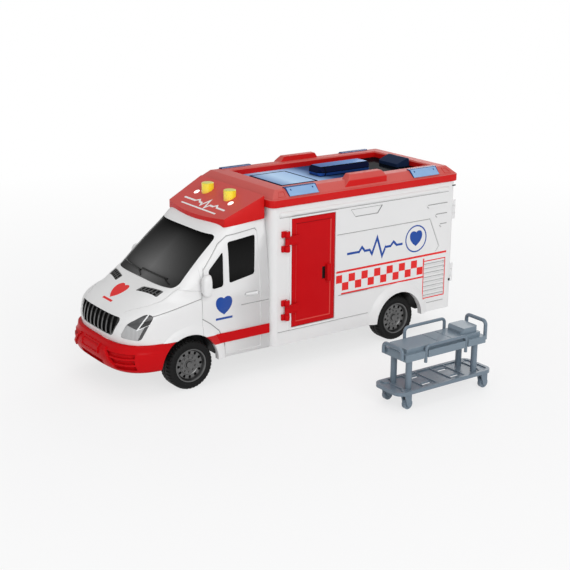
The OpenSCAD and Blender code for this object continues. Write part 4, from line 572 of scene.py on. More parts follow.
materials = {
    "white": plain("whitePlastic", "white", whiteFinish),
    "cab": cabPaint("printedCab", cabPrint),
    "side": sidePaint("printedSide", sidePrint),
    "red": plain("redPlastic", "red", redFinish),
    "door": doorPaint("redDoor", doorPaintedLight),
    "roofRed": satinPaint("satinRoof"),
    "fairing": fairingPaint("printedFairing", fairingPrint),
    "dark": plain("darkPlastic", "black", {"rough": 0.5, "more": {"Specular IOR Level": 0.2}}),
    "gloss": plain("blackGloss", "black", glossFinish),
    "air": plain("airUnit", "airBlue", {"rough": 0.32, "more": {"Specular IOR Level": 0.05, "IOR": 1.3}}),
    "grille": plain("grilleGloss", "black",
                    {"rough": 0.16, "more": {"Specular IOR Level": 0.7, "Coat Weight": 0.3}}),
    "glass": glassPaint("darkPane", paneReflection),
    "lamp": lampPaint("headlightLens", lampPrint),
    "vent": ventPaint("bonnetVent", bonnetVent),
    "led": ledPaint("ledLens"),
    "roof": roofPaint("roofGloss", roofPrintAndReflection),
    "bar": barPaint("blueBar", barPrint),
    "lens": lensPaint("paleLens", lensPrint),
    "yellow": buttonPaint("yellowButton", buttonPrint),
    "rubber": plain("tyreRubber", "rubber", rubberFinish),
    "gunmetal": metalPaint("gunmetalRim", "gunmetal", 0.26),
    "steel": metalPaint("steelRod", "steel", 0.2),
    "gear": plain("gearPlastic", "gearWhite", {"rough": 0.4}),
    "board": plain("boardGreen", "boardGreen", {"rough": 0.3}),
    "cell": plain("cellSkin", "cellSkin", {"rough": 0.25, "more": {"Metallic": 0.4}}),
    "slate": plain("slatePlastic", "slate", slateFinish),
    "bed": plain("bedPlastic", "bedSlate", slateFinish),
}
nodeLooks = {
    "white": ["load_floor", "front_bulkhead", "rear_frame", "rear_left_door", "rear_right_door", "mirrors"],
    "cab": ["cab_shell"],
    "side": ["left_side_panel", "right_side_panel"],
    "red": ["side_door_hinges", "bumper", "sill_stripes"],
    "door": ["side_door"],
    "roofRed": ["roof_ring"],
    "fairing": ["fairing"],
    "glass": ["windscreen", "side_windows"],
    "lamp": ["headlights"],
    "led": ["led_lenses"],
    "roof": ["roof_insert"],
    "bar": ["light_bar"],
    "lens": ["roof_lenses"],
    "yellow": ["button_left", "button_right"],
    "rubber": ["front_tyres", "rear_tyres"],
    "gunmetal": ["front_rims", "rear_rims"],
    "steel": ["front_axle", "rear_axle", "hinge_pins", "flywheel", "gear_shafts", "screws"],
    "gear": ["drive_gear", "idler_gear"],
    "board": ["circuit_board"],
    "cell": ["battery_cells"],
    "bed": ["stretcher_bed"],
    "slate": ["stretcher_tray", "stretcher_posts", "stretcher_handles", "near_rail", "far_rail"]
    + ["caster_%s_%d" % (part, i) for part in ("fork", "wheel") for i in range(1, 5)],
    "dark": ["chassis", "gearbox", "gearbox_cover", "battery_cover", "speaker"],
    "vent": ["bonnet_vents"],
    "air": ["ac_unit"],
    "grille": ["grille"],
}
lookOf = {name: look for look, names in nodeLooks.items() for name in names}
bodyOf = {name: body for body, names in frame["record"]["behaviour"]["bodies"].items() for name in names}
for name, look in lookOf.items():
    nodes[name].data.materials.clear()
    nodes[name].data.materials.append(materials[look])
print("materials set on", len(lookOf), "nodes")


# mesh helpers

leaning = ("roofRed", "fairing")  # looks that read how far a face leans up


def addPiece(name, form, body, look, replaced=(), angle=32, guide=None, scaled=True):
    mesh = bpy.data.meshes.new(name)
    form.to_mesh(mesh)
    form.free()
    mesh.materials.append(materials[look])
    for face in mesh.polygons:
        face.use_smooth = True
    mesh.set_sharp_from_angle(angle=math.radians(angle))
    if guide:
        shadeLike(mesh, guide)
    if scaled:
        mesh.transform(toFrame)
    # how far each face leans up, read by the painted sheen of these looks
    if look in leaning:
        lean = mesh.attributes.new("upward", "FLOAT", "FACE")
        lean.data.foreach_set("value", [face.normal.z for face in mesh.polygons])
    piece = bpy.data.objects.new(name, mesh)
    bpy.context.scene.collection.objects.link(piece)
    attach(piece, body)
    if replaced:
        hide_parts(*replaced)
    return piece


guideMatch = {"gap": 0.06, "facing": 0.7, "soft": 0.001}


def shadeLike(mesh, guide):  # cut faces of a smooth form keep that form's even shading
    guide.normal_update()
    guide.faces.ensure_lookup_table()
    tree = BVHTree.FromBMesh(guide)
    normals = []
    for face in mesh.polygons:
        _, normal, _, gap = tree.find_nearest(face.center)
        onForm = gap < guideMatch["gap"] and normal.dot(face.normal) > guideMatch["facing"]
        for corner in face.vertices:
            shade = face.normal
            if onForm:
                place = mesh.vertices[corner].co
                near = guide.faces[tree.find_nearest(place)[2]].verts
                shade = sum((v.normal / ((v.co - place).length_squared + guideMatch["soft"]) for v in near),
                            Vector())
            normals.append(shade.normalized())
    mesh.normals_split_custom_set(normals)


def rounded(form, geom, width, steps, affect="EDGES", clamp=True):
    bmesh.ops.bevel(form, geom=geom, offset=width, offset_type="OFFSET", segments=steps, profile=0.5,
                    affect=affect, clamp_overlap=clamp, material=-1)
    return form


def pushed(form, push):  # a flat sheet becomes a closed slab
    swept = bmesh.ops.extrude_face_region(form, geom=list(form.faces))
    bmesh.ops.translate(form, vec=push, verts=[v for v in swept["geom"] if isinstance(v, bmesh.types.BMVert)])
    bmesh.ops.recalc_face_normals(form, faces=form.faces)
    return form


def prism(points, lift, push, rounding=0.0, steps=6):  # a flat outline, lifted into place and pushed along
    form = bmesh.new()
    face = form.faces.new([form.verts.new(lift(*point)) for point in points])
    if rounding:
        rounded(form, list(face.verts), rounding, steps, "VERTICES", False)
    return pushed(form, push)


def ribbon(points, width, lift, push, closed=False):  # a strip of even width along points, pushed into a wall
    form = bmesh.new()
    count = len(points)
    pairs = []
    for i, point in enumerate(points):
        here = Vector(point)
        before = Vector(points[i - 1]) if i or closed else None
        after = Vector(points[(i + 1) % count]) if i < count - 1 or closed else None
        entry = (here - before).normalized() if before else (after - here).normalized()
        leave = (after - here).normalized() if after else entry
        side = Vector((-(entry + leave).y, (entry + leave).x)).normalized()
        reach = width / 2 / max(0.5, side.dot(Vector((-entry.y, entry.x))))
        pairs.append([form.verts.new(lift(*(here + side * reach * k))) for k in (1, -1)])
    for i in range(count if closed else count - 1):
        (a, b), (c, d) = pairs[i], pairs[(i + 1) % count]
        form.faces.new((a, b, d, c))
    return pushed(form, push)


def block(low, high):
    form = bmesh.new()
    bmesh.ops.create_cube(form, size=1)
    size = Vector(high) - Vector(low)
    bmesh.ops.scale(form, vec=size, verts=form.verts)
    bmesh.ops.translate(form, vec=Vector(low) + size / 2, verts=form.verts)
    return form


def rod(centre, radius, along, steps=64):
    form = bmesh.new()
    bmesh.ops.create_cone(form, cap_ends=True, segments=steps, radius1=radius, radius2=radius,
                          depth=along.length)
    turn = along.to_track_quat("Z", "Y").to_matrix().to_4x4()
    bmesh.ops.transform(form, matrix=Matrix.Translation(Vector(centre) + along / 2) @ turn, verts=form.verts)
    return form


def mirrored(form):  # a copy on the van's other side
    twin = form.copy()
    bmesh.ops.scale(twin, vec=(1, -1, 1), verts=twin.verts)
    bmesh.ops.reverse_faces(twin, faces=twin.faces)
    return twin


def joined(*forms):  # separate solids in one mesh
    whole = bmesh.new()
    for form in forms:
        mesh = bpy.data.meshes.new("part")
        form.to_mesh(mesh)
        whole.from_mesh(mesh)
        bpy.data.meshes.remove(mesh)
    return whole


def bothSides(*forms):  # each form with its twin
    return joined(*[side for form in forms for side in (form, mirrored(form))])


def oblong(y0, y1, z0, z1): return [(y0, z0), (y1, z0), (y1, z1), (y0, z1)]


def bevelled(form, width, steps, least=20):
    sharp = [edge for edge in form.edges if edge.calc_face_angle(0) > math.radians(least)]
    return rounded(form, sharp, width, steps)


def workObject(form):
    mesh = bpy.data.meshes.new("work")
    form.to_mesh(mesh)
    piece = bpy.data.objects.new("work", mesh)
    bpy.context.scene.collection.objects.link(piece)
    return piece


def carve(base, steps):  # cuts or keeps, one after another
    work = [workObject(base)]
    for operation, cutter in steps:
        work.append(workObject(cutter))
        step = work[0].modifiers.new(operation, "BOOLEAN")
        step.operation = operation
        step.object = work[-1]
        step.solver = "MANIFOLD"
    bpy.context.view_layer.update()
    result = bmesh.new()
    result.from_object(work[0], bpy.context.evaluated_depsgraph_get())
    for piece in work:
        mesh = piece.data
        bpy.data.objects.remove(piece)
        bpy.data.meshes.remove(mesh)
    if not result.faces:
        raise RuntimeError("a cut left nothing")
    return result


def cut(*forms): return [("DIFFERENCE", form) for form in forms]


def keep(*forms): return [("INTERSECT", form) for form in forms]


def fuse(*forms): return [("UNION", form) for form in forms]


def loft(rings):
    form = bmesh.new()
    last = None
    for ring in rings:
        verts = [form.verts.new(point) for point in ring]
        edges = [form.edges.new((verts[i - 1], verts[i])) for i in range(len(verts))]
        if last:
            bmesh.ops.bridge_loops(form, edges=last + edges)
        else:
            form.faces.new(verts)
        last = edges
    form.faces.new(verts)
    bmesh.ops.recalc_face_normals(form, faces=form.faces)
    return form


def smoothRow(table, spot):  # even curve through a table whose first column rises
    heights = [row[0] for row in table]
    i = max(0, min(len(table) - 2, sum(1 for h in heights if h <= spot) - 1))
    span = heights[i + 1] - heights[i]
    t = (spot - heights[i]) / span

    def slope(k, column):
        steps = [(table[n + 1][column] - table[n][column]) / (heights[n + 1] - heights[n])
                 for n in (k - 1, k) if 0 <= n < len(table) - 1]
        if len(steps) == 1:
            return steps[0]
        return 0 if steps[0] * steps[1] <= 0 else 2 * steps[0] * steps[1] / (steps[0] + steps[1])

    row = []
    for column in range(1, len(table[0])):
        a, b = table[i][column], table[i + 1][column]
        m0, m1 = slope(i, column) * span, slope(i + 1, column) * span
        row.append((2 * t ** 3 - 3 * t ** 2 + 1) * a + (t ** 3 - 2 * t ** 2 + t) * m0
                   + (3 * t ** 2 - 2 * t ** 3) * b + (t ** 3 - t ** 2) * m1)
    return row


def fullTurn(steps): return [2 * math.pi * k / steps for k in range(steps)]


def squareReach(turn, square):  # radius of a squared circle
    return (abs(math.cos(turn)) ** square + abs(math.sin(turn)) ** square) ** (-1 / square)


def noseRing(back, start, nose, half, square, z, steps):  # straight sides and a bowed, square-cornered nose
    ring = [(back, half, z)]
    for i in range(2 * steps + 1):
        turn = math.pi / 2 * (1 - i / steps)
        reach = squareReach(turn, square)
        ring.append((start + (nose - start) * reach * math.cos(turn), half * reach * math.sin(turn), z))
    return ring + [(back, -half, z)]


# cab: each level is height, nose, width and corner start as shares, then the corner's squareness
cab = {
    "back": 118.0, "length": 113.5, "half": 46.0, "sill": 18.0, "height": 95.5, "rows": 72, "steps": 30,
    "noseWall": 3.0, "wall": 2.0, "lineDeep": 0.45, "lineWidth": 0.7, "glassSink": 0.5, "glassGap": 0.1,
    "levels": [
        (0, 0.978, 1, 0.59, 3.4), (0.204, 0.991, 1, 0.59, 3.4), (0.272, 1, 1, 0.59, 3.4),
        (0.335, 0.991, 1, 0.59, 3.4), (0.377, 0.976, 1, 0.58, 3.5), (0.408, 0.952, 1, 0.56, 3.5),
        (0.44, 0.916, 1, 0.5, 3.3), (0.471, 0.872, 0.998, 0.37, 3.2), (0.503, 0.824, 0.996, 0.3, 3.4),
        (0.534, 0.762, 0.989, 0.28, 4), (0.565, 0.692, 0.983, 0.28, 5), (0.66, 0.601, 0.961, 0.21, 5),
        (0.754, 0.511, 0.939, 0.15, 5), (0.9, 0.37, 0.9, 0.02, 5), (0.942, 0.33, 0.888, 0.02, 5),
        (0.974, 0.286, 0.872, 0.02, 5), (0.995, 0.238, 0.84, 0.02, 5), (1, 0.203, 0.8, 0.02, 5)],
    "screen": [(-39.4, 72.15), (39.4, 72.15), (36.0, 103.95), (-36.0, 103.95)], "screenRound": 3.4,
    "doorPane": [(149.6, 99.0), (127.3, 101.5), (129.8, 74.4), (150.6, 70.9)],
    "quarterPane": [(154.2, 93.2), (166.6, 81.4), (164.3, 68.7), (155.7, 69.6)], "paneRound": 1.7,
    "grille": [(-22.5, 41.4), (22.5, 41.4), (28.6, 55.0), (-28.6, 55.0)], "grilleRound": 3.4,
    "lamp": [(-12.6, -7.9), (2.2, -9.2), (10.3, 7.0), (4.95, 8.58), (-7.2, 1.93)], "lampRound": 2.5,
    "arch": (183.0, 17.5, 22.1, 30.6), "archPush": 40.0, "pillarLine": [(173.4, 68.8), (188.4, 71.4)],
    "bumperSpace": ((189.96, -60.0, 0.0), (260.0, 60.0, 37.4)),
    "roofCut": ((121.2, -31.0, 107.5), (144.4, 31.0, 115.0)),
    "slot": ((100.0, -44.0, 10.0), (123.0, 44.0, 23.3)),
    "bonnetLine": [(187.5, 40.6), (200.0, 38.4), (209.0, 35.4), (216.5, 31.4), (222.5, 26.6)],
    "bonnetLineZ": 50.0, "bonnetLineDeep": 0.7,
    "handle": [(126.4, 58.8), (138.9, 58.8), (139.4, 60.6), (137.0, 62.2), (128.4, 62.2), (126.2, 60.6)],
    "handleRound": 0.8, "handleDeep": 1.2,
    "handleBar": [(127.6, 60.1), (137.6, 60.1), (137.6, 61.7), (127.6, 61.7)], "barRound": 0.7,
    "barProud": 0.35, "barSunk": 0.5, "lampBack": 2.7, "lampReach": 16.0, "sideStart": 32.0,
    "noseStart": 150.0, "grilleStart": 175.0,
}


def cabForm(deep=0.0, side=0.0, roof=0.0, back=0.0, low=0.0):
    rings = []
    for i in range(cab["rows"] + 1):
        share = i / cab["rows"]
        nose, width, start, square = smoothRow(cab["levels"], share)
        heel = cab["back"] + back
        z = cab["sill"] + share * (cab["height"] - roof) - (low if i == 0 else 0)
        rings.append(noseRing(heel, heel + start * cab["length"], cab["back"] + nose * cab["length"] - deep,
                              cab["half"] * width - side, square, z, cab["steps"]))
    return loft(rings)


def cabSkin(deep): return cabForm(deep, deep)


def cabCore(deep):  # runs out at the back and the foot, so that a cut leaves no skin there
    return cabForm(deep, deep, 0, -1.0, 1.0)


def bonnetForm(sink, back=-1.0): return cabForm(2 * sink, sink, sink, back)


cornerGrow = 1.4  # corners move out further than sides


def grown(points, gap):
    spots = [Vector(point) for point in points]
    middle = sum(spots, Vector((0, 0))) / len(spots)
    return [tuple(spot + (spot - middle).normalized() * gap * cornerGrow) for spot in spots]


def inlay(skin, back, *outline):  # the part of a skin within an outline
    return carve(skin, cut(cabCore(back)) + keep(prism(*outline)))


def onSide(x, z): return (x, cab["sideStart"], z)


def onNose(y, z): return (cab["noseStart"], y, z)


def noseward(y, z): return (cab["grilleStart"], y, z)


sideways, forwards = Vector((0, 30, 0)), Vector((100, 0, 0))
lampOut = Vector((math.cos(lampTurn), math.sin(lampTurn), 0))
lampAcross = Vector((-math.sin(lampTurn), math.cos(lampTurn), 0))
lampPush = lampOut * 2 * cab["lampReach"]


def inLamp(across, up):
    return Vector(lampPlace) + lampAcross * across + Vector((0, 0, up)) - lampOut * cab["lampReach"]


def inVent(u, v):
    x, y = bonnetVent["place"]
    cosine, sine = math.cos(bonnetVent["turn"]), math.sin(bonnetVent["turn"])
    return (x + u * cosine - v * sine, y + u * sine + v * cosine, bonnetVent["base"])


def ventPrism(long, wide, shift=0.0, rounding=0.0):
    u, v = long / 2, wide / 2
    skew = bonnetVent["skew"] / bonnetVent["long"] * u
    corners = [(-u, shift - v + skew), (u, shift - v - skew), (u, shift + v - skew), (-u, shift + v + skew)]
    return prism(corners, inVent, Vector((0, 0, bonnetVent["rise"])), rounding)


outer = cabForm()
shell = carve(outer, cut(cabForm(cab["noseWall"], cab["wall"], cab["wall"], cab["wall"], 1.0)))
gap, lineWidth, lineDeep = cab["glassGap"], cab["lineWidth"], cab["lineDeep"]
archX, archZ, archR, archIn = cab["arch"]
archCut = rod((archX, archIn, archZ), archR, Vector((0, cab["archPush"], 0)), 96)
ventLong, ventWide, ventRound = (bonnetVent[key] for key in ("long", "wide", "round"))
ventCut = carve(ventPrism(ventLong, ventWide, 0, ventRound), cut(bonnetForm(bonnetVent["sink"])))
sidePanes = ("doorPane", "quarterPane")
paired = [prism(grown(cab[key], gap), onSide, sideways, cab["paneRound"]) for key in sidePanes]
paired += [prism(grown(cab["lamp"], gap), inLamp, lampPush, cab["lampRound"]), ventCut, archCut]
lines = [ribbon(cabSeams["doorLine"], lineWidth, onSide, sideways, True)]
lines += [ribbon(points, lineWidth, onSide, sideways)
          for points in (cabSeams["fenderLine"], cabSeams["seamLine"], cab["pillarLine"])]
lineFloor = cabCore(lineDeep)
paired += [carve(line, cut(lineFloor)) for line in lines]
paired.append(carve(prism(cab["handle"], onSide, sideways, cab["handleRound"]),
                    cut(cabCore(cab["handleDeep"]))))
lineZ = cab["bonnetLineZ"]
crease = ribbon(cab["bonnetLine"], lineWidth, lambda x, y: (x, y, lineZ), Vector((0, 0, lineZ)))
paired.append(carve(crease, cut(cabForm(cab["bonnetLineDeep"], lineDeep, lineDeep, -1.0))))
bumperSpace = block(*cab["bumperSpace"])
cutters = [bumperSpace, block(*cab["roofCut"]), block(*cab["slot"]),
           prism(grown(cab["screen"], gap), onNose, forwards, cab["screenRound"]),
           prism(grown(cab["grille"], gap), noseward, forwards, cab["grilleRound"])]
for form in paired:
    cutters += [form, mirrored(form)]
shell = carve(shell, cut(*cutters))

# lip round each front wheel arch
lip = {"steps": 64,
       "profile": [(-0.02, -3.4), (6.6, -3.4), (6.6, -0.05), (4.8, 0.75), (3.2, 1.15), (0.9, 1.3),
                                (0.3, 1.2), (-0.02, 0.8)]}
lipForm = bmesh.new()
lipForm.faces.new([lipForm.verts.new((archX + archR + out, cab["half"] + proud, archZ))
                   for out, proud in lip["profile"]])
bmesh.ops.spin(lipForm, geom=list(lipForm.faces) + list(lipForm.edges) + list(lipForm.verts),
               cent=(archX, 0, archZ), axis=(0, -1, 0), angle=math.pi, steps=lip["steps"])
bmesh.ops.recalc_face_normals(lipForm, faces=lipForm.faces)
lipForm = carve(lipForm, cut(bumperSpace))
shell = carve(shell, fuse(lipForm, mirrored(lipForm)))
addPiece("cabShell", shell, "van", "cab", ("cab_shell",), guide=outer)
print("cab shell cut")

bar = inlay(cabSkin(-cab["barProud"]), cab["barSunk"], cab["handleBar"], onSide, sideways, cab["barRound"])
addPiece("doorHandles", bothSides(bar), "van", "white")

# panes, lamps and grille are skins of the same form
glassOuter = cabSkin(cab["glassSink"])
screen = inlay(glassOuter, cab["noseWall"] - gap, cab["screen"], onNose, forwards, cab["screenRound"])
addPiece("windscreenPane", screen, "van", "glass", ("windscreen",), guide=glassOuter)
paneOuter = cabSkin(cab["glassSink"] / 2)
panes = [inlay(paneOuter, cab["wall"], cab[key], onSide, sideways, cab["paneRound"]) for key in sidePanes]
addPiece("doorPanes", bothSides(*panes), "van", "glass", ("side_windows",), guide=paneOuter)
lamp = inlay(paneOuter, cab["lampBack"], cab["lamp"], inLamp, lampPush, cab["lampRound"])
addPiece("headlightLenses", bothSides(lamp), "van", "lamp", ("headlights",), guide=paneOuter)

grille = {"slats": 10, "slatWidth": 1.7, "slatSpan": (40.0, 58.0), "topWidth": 57.2, "rim": 1.1,
          "rimRound": 2.8, "skin": (0.6, 2.6), "plate": (2.4, 4.4)}
within = prism(grown(cab["grille"], -grille["rim"]), noseward, forwards, grille["rimRound"])
front, back = grille["skin"]
skin = inlay(cabSkin(front), back, cab["grille"], noseward, forwards, cab["grilleRound"])
parts = [carve(skin, cut(within))]
slatHalf = grille["slatWidth"] / 2
for i in range(grille["slats"]):
    middle = ((i + 0.5) / grille["slats"] - 0.5) * grille["topWidth"]
    slat = prism(oblong(middle - slatHalf, middle + slatHalf, *grille["slatSpan"]), noseward, forwards)
    parts.append(carve(skin, keep(within, slat)))
addPiece("grilleSlats", joined(*parts), "van", "grille", ("grille",))
front, back = grille["plate"]
grillePlate = carve(cabSkin(front), cut(cabCore(back)) + keep(within))
addPiece("grillePlate", grillePlate, "van", "dark")

slotFloor = bonnetForm(bonnetVent["slotSink"])
slots = []
for i in range(1, bonnetVent["bars"] + 1):
    shift = (i / (bonnetVent["bars"] + 1) - 0.5) * ventWide
    slot = ventPrism(bonnetVent["slotLong"] * ventLong, bonnetVent["slot"], shift)
    slots.append(carve(slot, cut(slotFloor)))
edgeGap = bonnetVent["edgeGap"]
vent = carve(bonnetForm(bonnetVent["topSink"]),
             keep(ventPrism(ventLong - edgeGap, ventWide - edgeGap, 0, ventRound))
             + cut(bonnetForm(bonnetVent["floorSink"], -2.0), *slots))
addPiece("bonnetVents", bothSides(vent), "van", "vent", ("bonnet_vents",))
print("panes, lamps, grille and vents cut")

# bumper: levels are height, nose and width as shares
bumper = {
    "start": 189.96, "heel": 20.0, "nose": 46.04, "height": 19.3, "square": 3.6, "rows": 24, "wall": 2.4,
    "deep": 1.9,
    "levels": [(0, 0.9, 0.975), (0.1, 0.955, 0.995), (0.46, 1, 1.008), (0.7, 0.99, 1.008), (0.77, 0.955, 1),
               (1, 0.93, 0.998)],
    "behind": ((150.0, -60.0, 0.0), (189.96, 60.0, 120.0)),
    "plate": (12.0, 27.0, 34.0), "plateRim": 0.9, "plateSunk": 0.6, "chin": (16.0, 19.8, 23.6),
    "round": (0.8, 4), "fog": (28.5, 41.5, 20.6, 12.6), "fogSkew": -8.5, "fogSlats": 3, "fogBar": 1.2,
    "fogRound": (0.4, 3), "fin": [(16.6, 33.8), (19.4, 33.8), (24.4, 28.0), (29.6, 23.2), (27.4, 21.2)],
    "finRound": 0.5, "proud": 1.0,
}


def bumperForm(deep, over):
    rings = []
    start, rows = bumper["start"], bumper["rows"]
    for i in range(rows + 1):
        nose, width = smoothRow(bumper["levels"], i / rows)
        z = cab["sill"] + i / rows * bumper["height"] + (-over if i == 0 else over if i == rows else 0)
        rings.append(noseRing(start - bumper["heel"], start, start + bumper["nose"] * nose - deep,
                              cab["half"] * width - deep, bumper["square"], z, cab["steps"]))
    return loft(rings)


def onBumper(points, rounding): return prism(points, onNose, forwards, *rounding)


bumperOuter, bumperFloor = bumperForm(0, 0), bumperForm(bumper["deep"], 1.0)
chinHalf, chinLow, chinHigh = bumper["chin"]
recesses = [onBumper(oblong(-chinHalf, chinHalf, chinLow, chinHigh), bumper["round"])]
fogIn, fogOut, fogLow, fogHeight = bumper["fog"]
pitch = fogHeight / bumper["fogSlats"]
for i in range(bumper["fogSlats"]):
    inner = fogIn + bumper["fogSkew"] * i / (bumper["fogSlats"] - 1)
    low = fogLow + i * pitch
    slat = onBumper(oblong(inner, fogOut, low, low + pitch - bumper["fogBar"]), bumper["fogRound"])
    recesses += [slat, mirrored(slat)]
recesses = [carve(form, cut(bumperFloor)) for form in recesses]
body = carve(bumperOuter,
             cut(bumperForm(bumper["wall"], 1.0), block(*bumper["behind"]), archCut, mirrored(archCut),
                              *recesses))
proud, rimIn = bumper["proud"], bumper["plateRim"]
proudForm, proudBack = bumperForm(-proud, 0), bumperForm(1.0, 1.0)
fin = carve(proudForm, cut(proudBack) + keep(prism(bumper["fin"], onNose, forwards, bumper["finRound"])))
plateHalf, plateLow, plateHigh = bumper["plate"]
panel = onBumper(oblong(rimIn - plateHalf, plateHalf - rimIn, plateLow + rimIn, plateHigh - rimIn),
                 bumper["fogRound"])
panel = carve(panel, cut(bumperForm(bumper["plateSunk"] - proud, 1.0)))
plate = carve(proudForm, cut(proudBack, panel)
              + keep(onBumper(oblong(-plateHalf, plateHalf, plateLow, plateHigh), bumper["round"])))
addPiece("frontBumper", joined(body, bothSides(fin), plate), "van", "red", ("bumper",),
         guide=bumperOuter)
print("bumper cut")


def flatRing(low, high, z):
    (x0, y0), (x1, y1) = low, high
    return [(x0, y0, z), (x1, y0, z), (x1, y1, z), (x0, y1, z)]


# roof ring: upright band, sloped rim, sunk pit and two bumps
roof = {
    "low": (-56.4, -50.0), "high": (118.6, 50.0), "foot": 119.8, "band": 125.4, "rim": 131.1,
    "corner": (5.0, 10), "bandIn": 1.5, "rimIn": 7.5, "pit": ((-39.9, -33.5, 124.5), (99.1, 33.5, 140.0)),
    "pitLip": 0.9, "hollow": ((-53.0, -46.6, 100.0), (115.2, 46.6, 122.5)), "soft": 0.5,
    "bumpSpan": (30.0, 25.0, 80.0),
    "bumpSide": [(13.5, 125.4), (54.0, 125.4), (46.0, 135.1), (16.5, 135.1), (13.5, 131.1)],
    "bumpCross": [(38.5, 125.4), (47.0, 125.4), (47.0, 131.1), (44.0, 135.1), (38.5, 135.1)],
    "marks": [[(105.0, 1.9), (111.0, 1.9), (108.6, 6.2), (104.4, 6.2)],
              [(-43.6, 1.9), (-49.4, 1.9), (-47.0, 6.2), (-43.0, 6.2)]],
    "markWidth": 0.7, "markProud": 0.55, "markSunk": 0.3, "slopeFoot": (48.5, 125.4),
    "slopeWay": (0.725, 0.688),
}
slopeIn, slopeUp = roof["slopeWay"]
raised = Vector((0, slopeUp, slopeIn)) * roof["markProud"]


def roofRing(amount, z):
    return flatRing([v + amount for v in roof["low"]], [v - amount for v in roof["high"]], z)


def onSlope(x, up):  # a little under the sloped rim of the left side
    y, z = roof["slopeFoot"]
    return Vector((x, y - up * slopeIn, z + up * slopeUp)) - raised * roof["markSunk"]


band = block((*roof["low"], roof["foot"]), (*roof["high"], roof["band"]))
upright = [edge for edge in band.edges if abs((edge.verts[0].co - edge.verts[1].co).z) > 1]
rounded(band, upright, *roof["corner"], clamp=False)
bevelled(band, roof["soft"], 3, 60)
slopes = loft([roofRing(roof["bandIn"], roof["band"] - 2), roofRing(roof["bandIn"], roof["band"]),
               roofRing(roof["rimIn"], roof["rim"])])
bevelled(slopes, roof["soft"], 3)
bumpY, bumpWide, bumpLong = roof["bumpSpan"]
bump = prism(roof["bumpSide"], lambda x, z: (x, bumpY, z), Vector((0, bumpWide, 0)))
bump = carve(bump, keep(prism(roof["bumpCross"], lambda y, z: (0.0, y, z), Vector((bumpLong, 0, 0)))))
bmesh.ops.dissolve_limit(bump, angle_limit=math.radians(1), verts=bump.verts, edges=bump.edges)
bevelled(bump, roof["soft"], 3)
pitLow, pitHigh = roof["pit"]
lipLow, lipOut = roof["rim"] - roof["pitLip"], roof["pitLip"] + 0.1
pitLip = loft([flatRing(pitLow[:2], pitHigh[:2], lipLow),
               flatRing([v - lipOut for v in pitLow[:2]], [v + lipOut for v in pitHigh[:2]],
                        lipLow + lipOut)])
ring = carve(band, fuse(slopes, bump, mirrored(bump))
             + cut(block(pitLow, pitHigh), pitLip, block(*roof["hollow"])))
marks = [ribbon(points, roof["markWidth"], onSlope, raised, True) for points in roof["marks"]]
ring = joined(ring, bothSides(*marks))
addPiece("roofRing", ring, "van", "roofRed", ("roof_ring",), 24)
print("roof ring built")

# tyres: each section point is radius, place across, inner notch and outer notch
tyre = {
    "places": {"front": 183.0, "rear": 0.0}, "axleZ": 17.5, "inner": 33.0, "blocks": 40, "steps": 6,
    "notch": 2,
    "section": [(12.15, 0.4, 0, 0), (13.0, 0, 0, 0), (15.6, 0, 0, 0), (16.7, 0.4, 0.2, 0),
                (17.25, 1.1, 0.6, 0), (17.45, 2.0, 0.6, 0), (17.5, 4.2, 0.6, 0), (17.5, 4.5, 0, 0),
                (17.5, 6.2, 0, 0), (17.0, 6.35, 0, 0), (17.0, 7.15, 0, 0), (17.5, 7.3, 0, 0),
                (17.5, 9.0, 0, 0), (17.5, 9.3, 0, 0.6), (17.45, 11.3, 0, 0.6), (17.2, 12.3, 0, 0.6),
                (16.6, 13.1, 0, 0.35), (15.9, 13.45, 0, 0), (15.2, 13.5, 0, 0), (15.0, 13.25, 0, 0),
                (13.5, 13.25, 0, 0), (13.3, 13.5, 0, 0), (12.5, 13.5, 0, 0), (12.15, 13.1, 0, 0)],
}


def tyreForm(x):
    form = bmesh.new()
    rings = []
    steps = tyre["steps"]
    count = tyre["blocks"] * steps
    for k, turn in enumerate(fullTurn(count)):
        first, second = (float((k + shift) % steps < tyre["notch"]) for shift in (0, steps // 2))
        ring = []
        for radius, across, innerNotch, outerNotch in tyre["section"]:
            r = radius - innerNotch * first - outerNotch * second
            ring.append(form.verts.new((x + r * math.cos(turn), tyre["inner"] + across,
                                        tyre["axleZ"] + r * math.sin(turn))))
        rings.append(ring)
    for k in range(count):
        here, there = rings[k - 1], rings[k]
        for i in range(len(here)):
            form.faces.new((here[i - 1], here[i], there[i], there[i - 1]))
    bmesh.ops.recalc_face_normals(form, faces=form.faces)
    return form


# rims: each profile point is radius and depth from the wheel's face, from the hub out and round to the back
rim = {
    "face": 46.5, "steps": 96, "slots": 12, "slot": (7.7, 9.7, 1.05), "nuts": 10, "nutRing": 5.3,
    "nutRadius": 0.8, "nutSpan": (2.1, 2.9), "slotDeep": 6.0, "slotTaper": 0.8, "slotRound": (0.55, 4),
    "profile": [(0.3, 1.5), (1.5, 1.55), (2.3, 1.75), (2.6, 2.2), (2.62, 2.5), (3.5, 2.42), (3.7, 2.7),
                (6.8, 2.7), (7.1, 2.5), (7.3, 2.35), (9.9, 2.3), (10.1, 2.5), (10.5, 1.6), (10.8, 0.5),
                (11.1, 0.1), (11.5, 0.0), (11.9, 0.05), (12.1, 0.35), (12.1, 8.8), (11.9, 9.0), (10.9, 9.0),
                (10.8, 8.8), (10.8, 4.6), (10.3, 4.3), (4.4, 4.3), (4.4, 8.8), (0.3, 8.8)],
}


def spoke(x, turn, out, along, depth):  # a place on the wheel's face
    out, along = (out * math.cos(turn) - along * math.sin(turn),
                  out * math.sin(turn) + along * math.cos(turn))
    return Vector((x + out, rim["face"] - depth, tyre["axleZ"] + along))


